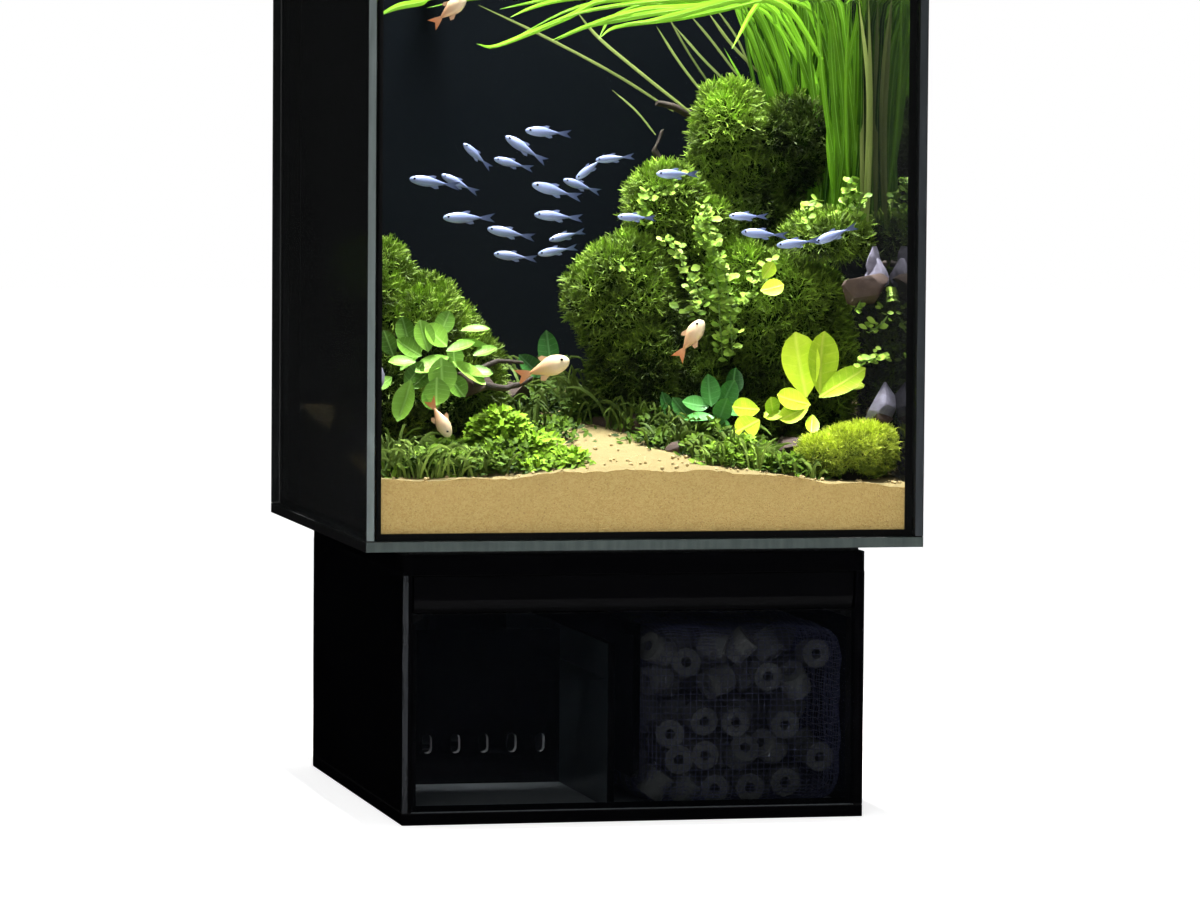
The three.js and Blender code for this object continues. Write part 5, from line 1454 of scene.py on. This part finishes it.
class AQUARIUM_OT_small_leaves(bpy.types.Operator):
    """Stem plants, carpet plants and the short grass of the foreground"""
    bl_idname = "aquarium.small_leaves"
    bl_label = "Small-leaved plants"

    def execute(self, context):
        rng = draws("small_leaves")
        pearl = foliage_finish("pearlweed leaf", colour("#3a6812"), colour("#b6da5a"), 0.5, 0, 6, 0.25,
                               gloss=0.2)
        stalk = foliage_finish("green stalk", colour("#35501a"), colour("#86a84e"), 0.5, 0, 8, 0.3)
        carpet = foliage_finish("carpet plant leaf", colour("#0e2606"), colour("#8cb82a"), 0.6, 0, 8, 0.3,
                                gloss=0.12)
        tuft = foliage_finish("hairgrass blade", colour("#122808"), colour("#9cbc52"), 0.6, 0, 9, 0.5,
                              gloss=0.12)

        oval = leaf_shape(4.0 * MM, 3.0 * MM, widest=0.55, fold=0.12, droop=0.15, rows=4, stalk=0.05)
        frames, tints, stalks = [], [], []
        for path, shade in STEMS:
            metres = [np.array(place) * MM for place in path]
            stem_with_pairs(metres, 2.0 * MM, rng, 1.0, frames, tints, shade)
            stalks.append(eased(path, 10))
        hand_over(copies("stem_plant", oval, frames, tints), pearl, smooth=60)
        blade_mesh("stem_plant_stalks", stalks, [0.9 * MM] * len(stalks), [0.8] * len(stalks), stalk)

        small = leaf_shape(3.4 * MM, 1.7 * MM, widest=0.55, fold=0.1, droop=0.25, rows=3, stalk=0.05)
        frames, tints = [], []
        for x, y, wide, deep, total, tall, shade in CARPETS:
            for _ in range(round(1.5 * total)):
                off_x, off_y = rng.normal(0, 0.5, 2)
                at_x = (x + wide * off_x) * MM
                at_y = (y + deep * off_y) * MM
                if not within_water(np.array([[at_x, at_y, 0]]))[0] or at_y < INSIDE_FRONT + 8 * MM:
                    continue
                share = rng.uniform(0.15, 1)
                rise = tall * MM * math.sqrt(max(1 - (off_x ** 2 + off_y ** 2) / 1.3, 0.0)) * share
                place = Vector((at_x, at_y, sand_height(at_x, at_y) + rise))
                out = Vector((*rng.normal(0, 0.8, 2), rng.uniform(0.1, 1.1)))
                frames.append(frame_at(place, out, (0, -0.5, 0.8), rng.uniform(0.65, 1.3)))
                # Painted shade: the lower a leaf sits in its patch, the darker it is painted.
                tints.append(shade * rng.uniform(0.4, 1.1) * (0.15 + 0.95 * share))
        hand_over(copies("carpet_plant", small, frames, tints), carpet, smooth=60)

        paths, widths, tints = [], [], []
        for x, y, wide, tall, total, shade in TUFTS:
            for _ in range(total):
                at_x = x + rng.normal(0, 0.5) * wide
                at_y = y + rng.normal(0, 0.4) * wide
                inside = within_water(np.array([[at_x, at_y, 0]]) * MM)[0]
                if not inside or at_y * MM < INSIDE_FRONT + 7 * MM:
                    continue
                foot = np.array([at_x, at_y, sand_height(at_x * MM, at_y * MM) / MM - 0.5])
                heading = rng.uniform(0, 2 * math.pi)
                long = tall * rng.uniform(0.5, 1.2)
                out = np.array([math.cos(heading), math.sin(heading), 0]) * long * rng.uniform(0.2, 1.1)
                rise = np.array([0, 0, long])
                paths.append(eased([foot, foot + out * 0.25 + rise * 0.55, foot + out * 0.65 + rise * 0.85,
                                    foot + out + rise * rng.uniform(0.6, 0.95)], 6))
                widths.append(rng.uniform(0.5, 1.5) * MM)
                tints.append(shade * rng.uniform(0.4, 1.2))
        blade_mesh("hairgrass", paths, widths, tints, tuft)
        return {"FINISHED"}
# Stones: middle and half-sizes in millimetres, and which rock.
STONES = (
    ("slate_upper", (103.5, -74, 222.5), (10, 7, 7.5), "pale"),
    ("slate_spire", (104, -74, 226), (3.5, 3.5, 12.5), "pale"),
    ("slate_shelf", (99.5, -76, 216), (12, 11, 8), "brown"),
    ("slate_lower", (105, -85, 167), (8, 6, 11), "pale"),
    ("lava_ledge", (104, -85, 163), (8, 6, 5), "brown"),
    ("slate_left", (-105, -84, 181), (3.5, 4, 6), "pale"),
    ("lava_left", (-58, -52, 176), (11, 8, 6), "brown"),
    ("lava_path", (16, -26, 157), (10, 6, 5), "brown"),
    ("lava_middle", (30, -24, 163), (13, 8, 8), "brown"),
    ("slate_path", (18, -44, 151), (6, 4, 3), "pale"),
    ("lava_back", (-34, 0, 168), (12, 8, 9), "brown"),
    ("lava_right", (70, -82, 151), (11, 7, 6), "brown"),
    ("slate_small", (24, -56, 149), (4, 3, 2), "pale"),
    ("lava_edge", (24, -68, 150), (7, 5, 4), "brown"),
    ("lava_step", (6, -14, 156), (8, 6, 6), "brown"),
    ("lava_low", (32, -48, 152), (8, 5, 4), "brown"),
)
# Twigs: the way each runs, and its radius at the thick end, in millimetres.
TWIGS = (
    (((56, 26, 284), (44, 24, 289), (34, 22, 291)), 2.2), (((36, 4, 262), (30, 4, 272), (34, 4, 280)), 1.8),
    (((-64, -50, 178), (-48, -46, 185), (-36, -40, 184)), 1.4),
    (((-60, -56, 176), (-46, -54, 174), (-34, -50, 178)), 1.8),
    (((110, -72, 226), (107, -73, 225), (103, -74, 224)), 1.3),
)
CUTS = 14
PEAK_CUTS = 7
TWIG_SIDES = 8
TWIG_BENDS = 4
class AQUARIUM_OT_hardscape(bpy.types.Operator):
    """Pale stones and twigs between the plants"""
    bl_idname = "aquarium.hardscape"
    bl_label = "Stones and twigs"

    def execute(self, context):
        rocks = {
            "pale": stone_finish("lavender grey slate", colour("#9a97aa"), colour("#34323e"), 5),
            "brown": stone_finish("brown lava stone", colour("#5a463a"), colour("#1c1411"), 6),
        }
        for name, place, radii, rock in STONES:
            piece = ball(name, place, 1, Vector(radii) * MM, 3)
            own = np.random.default_rng(len(name) + abs(round(place[0])))
            for cut in range(CUTS):
                if rock == "pale" and cut < PEAK_CUTS:
                    # Slate breaks steeply on every side of a peak that leans to the right.
                    turn = math.tau * (cut + own.uniform(-0.3, 0.3)) / PEAK_CUTS
                    direction = Vector((math.cos(turn), math.sin(turn), own.uniform(0.35, 0.75)))
                    direction.normalize()
                    peak = Vector((0.15 * radii[0], 0, 0.92 * radii[2]))
                    reach = peak + own.uniform(0.02, 0.12) * radii[0] * direction
                else:
                    direction = Vector(own.normal(size=3)).normalized()
                    reach = Vector([direction[axis] * radii[axis] * own.uniform(0.5, 0.85)
                                    for axis in range(3)])
                edit_all(piece)
                bpy.ops.mesh.bisect(plane_co=(Vector(place) + reach) * MM, plane_no=direction,
                                    use_fill=True, clear_outer=True)
                done()
            add_modifier(piece, "BEVEL", width=0.35 * MM, segments=1, limit_method="ANGLE",
                         angle_limit=math.radians(25))
            hand_over(piece, rocks[rock], smooth=30)

        wood = stone_finish("sunken driftwood", colour("#43382c"), colour("#140f0b"), 4)
        rng = draws("twigs")
        for index, (path, thick) in enumerate(TWIGS):
            deselect()
            bpy.ops.mesh.primitive_circle_add(vertices=TWIG_SIDES, radius=thick * MM, fill_type="NGON",
                                              location=Vector(path[0]) * MM)
            twig = just_added(f"twig_{index + 1}")
            ahead = Vector(path[1]) - Vector(path[0])
            twig.rotation_euler = ahead.to_track_quat("Z", "Y").to_euler()
            apply_place(twig)
            edit_all(twig)
            for start, end in zip(path[:-1], path[1:]):
                move = (Vector(end) - Vector(start)) * MM
                for _ in range(TWIG_BENDS):
                    step = move / TWIG_BENDS + Vector(rng.normal(0, 0.25, 3)) * MM
                    bpy.ops.mesh.extrude_region_move(TRANSFORM_OT_translate={"value": step})
                    centre = sum((vertex.co for vertex in bmesh.from_edit_mesh(twig.data).verts
                                  if vertex.select), Vector()) / TWIG_SIDES
                    bpy.ops.transform.resize(value=(0.93, 0.93, 0.93), center_override=centre)
            close_up()
            hand_over(twig, wood, smooth=50)
        return {"FINISHED"}


# ------------------------------------------------------------------ operators: fish

def fish_shape(length, depth, thickness, tail):
    """A fish along +X with its head at the tip: a rounded body, a forked tail, back and belly fins."""
    rings = 12
    deselect()
    bpy.ops.mesh.primitive_uv_sphere_add(segments=12, ring_count=rings, radius=0.5)
    body = just_added("fish_pattern")
    edit_all(body)
    bpy.ops.transform.rotate(value=math.pi / 2, orient_axis="Y", center_override=(0, 0, 0))
    bpy.ops.transform.resize(value=(length * (1 - tail), thickness, depth), center_override=(0, 0, 0))
    half = length * (1 - tail) / 2
    for ring in range(rings + 1):
        at = -half * math.cos(math.pi * ring / rings)
        share = (at + half) / (2 * half)
        # Thinnest at the tail's root and full from just past the middle on.
        girth = 0.34 + 0.66 * min(share / 0.55, 1) ** 1.2
        pick(lambda place: abs(place.x - at) < 1e-5)
        bpy.ops.transform.resize(value=(1, girth, girth), center_override=(at, 0, 0))
    done()
    fins = []
    # The tail, the back fin and the belly fin: along in body lengths, up in body depths.
    outlines = (
        ((-0.46, 0.1), (-0.64, 0.26), (-0.84, 0.4), (-0.7, 0.0), (-0.84, -0.4), (-0.64, -0.26),
         (-0.46, -0.1)),
        ((0.08, 0.42), (-0.1, 0.62), (-0.2, 0.58), (-0.16, 0.38)),
        ((-0.04, -0.4), (-0.2, -0.58), (-0.3, -0.5), (-0.26, -0.28)),
    )
    for outline in outlines:
        deselect()
        bpy.ops.mesh.primitive_circle_add(vertices=len(outline), radius=1, fill_type="NGON")
        fin = just_added("fin_pattern")
        set_points(fin, [(x * 2 * half, 0.0, z * depth) for x, z in outline])
        fins.append(fin)
    join([body, *fins])
    return shape_of(body)


# Small fish: place in millimetres, how steeply each swims (degrees, head up positive) and its size.
SCHOOL = (
    (-22, -12, 279, 4, 1.0), (-30, -6, 273, 32, 1.0), (-52, -16, 270, 40, 0.8), (-33, 4, 266, 14, 0.85),
    (-70, -10, 258, 8, 1.05), (-57, -2, 258, 26, 0.85), (-18, -10, 255, 14, 1.1), (7, -12, 268, -6, 0.8),
    (-1, -4, 263, -38, 0.8), (-4, 2, 257, 18, 0.85), (-55, -8, 243, 0, 1.1), (-18, -14, 244, 4, 1.0),
    (-36, -4, 237, 10, 1.0), (-10, 2, 235, -14, 0.8), (-33, 0, 227, 6, 0.9), (-16, -6, 229, -10, 0.85),
    (10, -40, 244, 2, 0.8), (26, -44, 262, 0, 0.95), (51, -66, 245, 0, 0.8), (57, -68, 238, 4, 0.95),
    (71, -70, 234, -8, 0.9), (87, -70, 237, -22, 0.95),
)
# Cream fish: place in millimetres, heading and size.
CREAM_FISH = (
    ((-70, -60, 329), (0.7, -0.15, 0.6), 1.0), ((-28, -56, 183), (0.9, -0.25, 0.32), 1.3),
    ((32, -58, 196), (0.5, -0.2, 0.83), 1.1), ((-79, -88, 162), (0.42, -0.3, -0.85), 1.0),
)


class AQUARIUM_OT_fish(bpy.types.Operator):
    """A school of small silver-blue fish and four cream ones"""
    bl_idname = "aquarium.fish"
    bl_label = "Fish"

    def execute(self, context):
        sizes = context.scene.aquarium_sizes
        colours = context.scene.aquarium_colours
        rng = draws("fish")
        silver = fish_finish("silver-blue fish skin", colours.fish_silver, colours.fish_blue)
        cream = fish_finish("cream fish skin", colours.fish_cream, colours.fish_orange, 0.4)
        small = fish_shape(sizes.fish_length, 0.23 * sizes.fish_length, 0.14 * sizes.fish_length, 0.2)
        frames, tints = [], []
        for x, y, z, climb, scale in SCHOOL:
            slope = math.radians(climb)
            yaw = rng.uniform(-0.25, 0.3)
            forward = Vector((-math.cos(slope) * math.cos(yaw), math.sin(yaw), math.sin(slope)))
            frames.append(frame_at(Vector((x, y, z)) * MM, forward, UP, scale))
            tints.append(rng.uniform(0.75, 1.0))
        hand_over(copies("fish_school", small, frames, tints), silver, smooth=70)
        self.eyes("fish_school_eyes", frames, sizes.fish_length, forward=0.3, aside=0.045, up=0.02)

        cream_length = 18 * MM
        large = fish_shape(cream_length, 6.6 * MM, 4.2 * MM, 0.26)
        frames, tints = [], []
        for place, forward, scale in CREAM_FISH:
            frames.append(frame_at(Vector(place) * MM, forward, UP, scale))
            tints.append(1.0)
        hand_over(copies("cream_fish", large, frames, tints), cream, smooth=70)
        self.eyes("cream_fish_eyes", frames, cream_length, forward=0.25, aside=0.08, up=0.05)
        return {"FINISHED"}

    def eyes(self, name, fish, length, forward, aside, up):
        """A dark bead on each side of every head; its place is in shares of the fish's length."""
        deselect()
        bpy.ops.mesh.primitive_ico_sphere_add(subdivisions=2, radius=0.026 * length)
        bead = shape_of(just_added("eye_pattern"))
        frames = []
        for grid in fish:
            for side in (-1, 1):
                eye = grid.copy()
                eye[:, 3] += grid[:, :3] @ (np.array([forward, side * aside, up]) * length)
                frames.append(eye)
        # A wet eye is black with one small hard glint.
        finish = new_finish("wet black eye", Base_Color=colour("#08080a"), Roughness=0.12)[0]
        hand_over(copies(name, bead, frames, [1.0] * len(frames)), finish, smooth=70)


# ------------------------------------------------------------------ operators: filter media

def ring_shape(outside, inside, length):
    """A short tube along +X, twelve-sided."""
    deselect()
    bpy.ops.mesh.primitive_cylinder_add(vertices=12, radius=outside / 2, depth=length, end_fill_type="NGON")
    piece = just_added("ring_pattern")
    edit(piece)
    bpy.ops.mesh.select_mode(type="FACE")
    mesh = bmesh.from_edit_mesh(piece.data)
    for face in mesh.faces:
        face.select = len(face.verts) > 4
    bmesh.update_edit_mesh(piece.data)
    bpy.ops.mesh.inset(thickness=(outside - inside) / 2)
    bpy.ops.mesh.bridge_edge_loops()
    bpy.ops.mesh.select_all(action="SELECT")
    bpy.ops.transform.rotate(value=math.pi / 2, orient_axis="Y", center_override=(0, 0, 0))
    close_up()
    return shape_of(piece)
# Rings that lie end-on at the bag's front: across and up, in millimetres.
FRONT_RINGS = ((45, 39.1), (65.7, 38), (36.8, 12.2), (51.2, 12.0), (23.8, 62.4), (17.3, 34.3),
               (30.6, 40), (31, 25), (21.1, 23.2), (78, 66), (58, 58), (80, 24), (66, 14))
class AQUARIUM_OT_media(bpy.types.Operator):
    """Net bag of ceramic rings in the right chamber"""
    bl_idname = "aquarium.media"
    bl_label = "Ring media"

    def execute(self, context):
        sizes = context.scene.aquarium_sizes
        colours = context.scene.aquarium_colours
        rng = draws("rings")
        lowest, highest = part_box("media_bag")
        middle = (lowest + highest) / 2
        extent = highest - lowest
        ring = ring_shape(sizes.ring_outside, sizes.ring_inside, sizes.ring_length)
        frames, tints, taken = [], [], []
        for x, z in FRONT_RINGS:
            place = Vector((x * MM, lowest.y + 8.5 * MM, z * MM))
            forward = (rng.normal(0, 0.12), 1, rng.normal(0, 0.12))
            frames.append(frame_at(place, forward, UP))
            tints.append(rng.uniform(0.7, 1))
            taken.append(place)
        # The rest lie every way in loose layers, wherever one does not run into another.
        pitch = 1.08 * sizes.ring_outside
        margin = 7.5 * MM
        layers = [int((extent[axis] - 2 * margin) / pitch) + 1 for axis in range(3)]
        for i, j, k in np.ndindex(*layers):
            place = Vector((
                lowest.x + margin + (i + 0.5 * (k % 2) * (j % 2)) * (extent.x - 2 * margin) / layers[0],
                lowest.y + margin + j * (extent.y - 2 * margin) / max(layers[1] - 1, 1),
                lowest.z + margin + k * (extent.z - 2 * margin) / max(layers[2] - 1, 1)))
            place += Vector(rng.uniform(-1.4, 1.4, 3)) * MM
            if any((place - other).length < 0.86 * sizes.ring_outside for other in taken):
                continue
            taken.append(place)
            frames.append(frame_at(place, rng.normal(size=3), rng.normal(size=3)))
            tints.append(rng.uniform(0.6, 1))
        ceramic = ceramic_finish("sintered ceramic", colours.ceramic)
        hand_over(copies("ceramic_rings", ring, frames, tints), ceramic, smooth=40)

        bag = self.bag_shell(sizes, middle, extent)
        net = net_finish("knitted nylon net", colours.net)
        hand_over(bag, net, smooth=60, stands_for=("media_bag",))
        return {"FINISHED"}

    def bag_shell(self, sizes, middle, extent):
        """A soft box with lumps of about a ring's size, of which only the strands are kept."""
        deselect()
        bpy.ops.mesh.primitive_cube_add(size=1, location=middle)
        bag = just_added("media_net")
        bag.scale = extent + Vector((1.5, 0, 1.5)) * MM
        apply_place(bag)
        edit_all(bag)
        bpy.ops.mesh.bevel(offset=9 * MM, segments=3, affect="EDGES")
        done()
        melt(bag, sizes.net_pitch, 0.6, 8)
        lump(bag, "bag_lumps", 0.9 * sizes.ring_outside, strength=3.2 * MM, rest=0.7)
        add_modifier(bag, "WIREFRAME", thickness=sizes.net_strand, use_even_offset=False,
                     use_replace=True)
        return bag


class AQUARIUM_OT_wool(bpy.types.Operator):
    """Filter wool in the drawer, puffed up between the tray's walls"""
    bl_idname = "aquarium.wool"
    bl_label = "Filter wool"

    def execute(self, context):
        colours = context.scene.aquarium_colours
        lowest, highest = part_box("wool_pad")
        wool = cad_copy("wool_pad", "filter_wool")
        done()
        melt(wool, 4.5 * MM, 0.5, 3)
        # The pad starts thinner than its space, which leaves it room to swell.
        places = points_of(wool)
        places[:, 2] = lowest.z + (places[:, 2] - lowest.z) * 0.7
        set_points(wool, places)
        swell(wool, pressure=4.0, cap=2.5 * MM)
        add_modifier(wool, "SUBSURF", levels=2)
        # Low waves and the roughness of fibres go on its top only.
        rng = draws("wool")
        places = points_of(wool)
        top = places[:, 2] > (lowest.z + highest.z) / 2
        wave = np.sin(places[:, 0] * 130) * np.cos(places[:, 1] * 95) * 0.8 * MM
        places[top, 2] += wave[top] + rng.normal(0, 0.18 * MM, top.sum())
        # The tray's walls and floor hold the pad in.
        low, high = np.array(lowest) + 0.1 * MM, np.array(highest) + Vector((-0.1, -0.1, 1.2)) * MM
        set_points(wool, np.clip(places, low, high))
        finish = wool_finish("bonded polyester wool", colours.wool)
        hand_over(wool, finish, "wool_drawer", smooth=60, stands_for=("wool_pad",))
        return {"FINISHED"}


# ------------------------------------------------------------------ operator: stage

class AQUARIUM_OT_stage(bpy.types.Operator):
    """Pale floor, soft studio light and the view"""
    bl_idname = "aquarium.stage"
    bl_label = "Stage"

    def execute(self, context):
        settings = context.scene.aquarium_stage
        context.scene.view_settings.view_transform = "Standard"
        deselect()
        bpy.ops.mesh.primitive_plane_add(size=14, location=(0, 0, 0))
        floor = just_added("studio_floor")
        # Backdrop paper glows a little, so that it meets the room's white without a line.
        paper = new_finish("seamless white paper", Roughness=0.9, Base_Color=colour("#f2f2f2"),
                           Emission_Color=colour("#ffffff"), Emission_Strength=0.62)[0]
        floor.data.materials.append(paper)
        floor.visible_glossy = False

        world = bpy.data.worlds.new("white room")
        context.scene.world = world
        world.use_nodes = True
        tree = world.node_tree
        tree.nodes.clear()
        path = add_node(tree, "ShaderNodeLightPath")
        # Gloss sees a room that is bright above and below and dark at eye level.
        heading = add_node(tree, "ShaderNodeTexCoord").outputs["Generated"]
        tall = add_node(tree, "ShaderNodeSeparateXYZ", {0: heading}).outputs[2]
        steep = maths(tree, "ABSOLUTE", tall)
        room = span(tree, steep, from_min=0.16, from_max=0.7, to_max=0.6 * settings.sky)
        seen = span(tree, path.outputs["Is Glossy Ray"], to_min=settings.sky, to_max=room)
        strength = span(tree, path.outputs["Is Camera Ray"], to_min=seen, to_max=1.0)
        backdrop = add_node(tree, "ShaderNodeBackground",
                            {"Color": colour("#ffffff"), "Strength": strength})
        output = add_node(tree, "ShaderNodeOutputWorld")
        tree.links.new(backdrop.outputs[0], output.inputs[0])

        # Each lamp: its place, what it faces, its width and depth, its spread in degrees, its power.
        lamps = (
            ("tank_lamp", (0.0, -0.04, 0.95), (0.0, -0.028, 0.0), 0.3, 0.2, 60, settings.lamp_power),
            ("key_softbox", (-0.7, -1.6, 1.3), (0.0, 0.0, 0.2), 1.2, 0.9, 180, 9.0),
            ("right_card", (1.1, 0.1, 0.02), (0.9, 0.1, 1.0), 0.7, 0.5, 180, 1.2),
            ("back_card", (0.45, 1.1, 0.02), (0.4, 0.9, 1.0), 0.7, 0.5, 180, 1.2),
            ("pump_lamp", (-0.05, -0.05, 0.055), (-0.05, 0.0, 0.026), 0.07, 0.01, 70, 0.007),
        )
        for name, place, target, width, depth, spread, power in lamps:
            light = bpy.data.lights.new(name, "AREA")
            light.shape = "RECTANGLE"
            light.size = width
            light.size_y = depth
            light.energy = power
            light.spread = math.radians(spread)
            lamp = linked(name, light)
            lamp.location = place
            lamp.rotation_euler = (Vector(target) - Vector(place)).to_track_quat("-Z", "Y").to_euler()
            lamp.visible_camera = False
            lamp.visible_glossy = name in ("tank_lamp", "key_softbox")

        lens = bpy.data.cameras.new("view")
        lens.lens = settings.lens
        lens.sensor_width = 36
        lens.clip_start = 0.05
        camera = linked("view", lens)
        forward = Vector((math.sin(settings.turn) * math.cos(settings.dip),
                          math.cos(settings.turn) * math.cos(settings.dip), -math.sin(settings.dip)))
        right = Vector((math.cos(settings.turn), -math.sin(settings.turn), 0))
        upward = right.cross(forward)
        level = math.cos(settings.tilt) * right + math.sin(settings.tilt) * upward
        crown = -math.sin(settings.tilt) * right + math.cos(settings.tilt) * upward
        camera.matrix_world = Matrix.Translation(settings.eye) @ Matrix(
            (level, crown, -forward)).transposed().to_4x4()
        context.scene.camera = camera
        return {"FINISHED"}


# ------------------------------------------------------------------ panel and registration

STEPS = (
    AQUARIUM_OT_stage, AQUARIUM_OT_panes, AQUARIUM_OT_panels, AQUARIUM_OT_fittings, AQUARIUM_OT_sand,
    AQUARIUM_OT_water, AQUARIUM_OT_moss, AQUARIUM_OT_eelgrass, AQUARIUM_OT_broad_leaves,
    AQUARIUM_OT_small_leaves, AQUARIUM_OT_hardscape, AQUARIUM_OT_fish, AQUARIUM_OT_media, AQUARIUM_OT_wool,
)


class VIEW3D_PT_aquarium(bpy.types.Panel):
    bl_label = "Aquarium"
    bl_space_type = "VIEW_3D"
    bl_region_type = "UI"
    bl_category = "Aquarium"

    def draw(self, context):
        for step in STEPS:
            self.layout.operator(step.bl_idname)
        for group in (context.scene.aquarium_sizes, context.scene.aquarium_colours,
                      context.scene.aquarium_stage):
            box = self.layout.box()
            for name in group.__annotations__:
                box.prop(group, name)


GROUPS = (
    ("aquarium_sizes", AquariumSizes), ("aquarium_colours", AquariumColours),
    ("aquarium_stage", StageSettings),
)


def register():
    for name, group in GROUPS:
        bpy.utils.register_class(group)
        setattr(bpy.types.Scene, name, bpy.props.PointerProperty(type=group))
    for step in STEPS:
        bpy.utils.register_class(step)
    bpy.utils.register_class(VIEW3D_PT_aquarium)


def unregister():
    bpy.utils.unregister_class(VIEW3D_PT_aquarium)
    for step in reversed(STEPS):
        bpy.utils.unregister_class(step)
    for name, group in reversed(GROUPS):
        delattr(bpy.types.Scene, name)
        bpy.utils.unregister_class(group)


def main():
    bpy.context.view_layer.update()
    register()
    for step in STEPS:
        group, name = step.bl_idname.split(".")
        getattr(getattr(bpy.ops, group), name)()


if __name__ == "__main__":
    main()
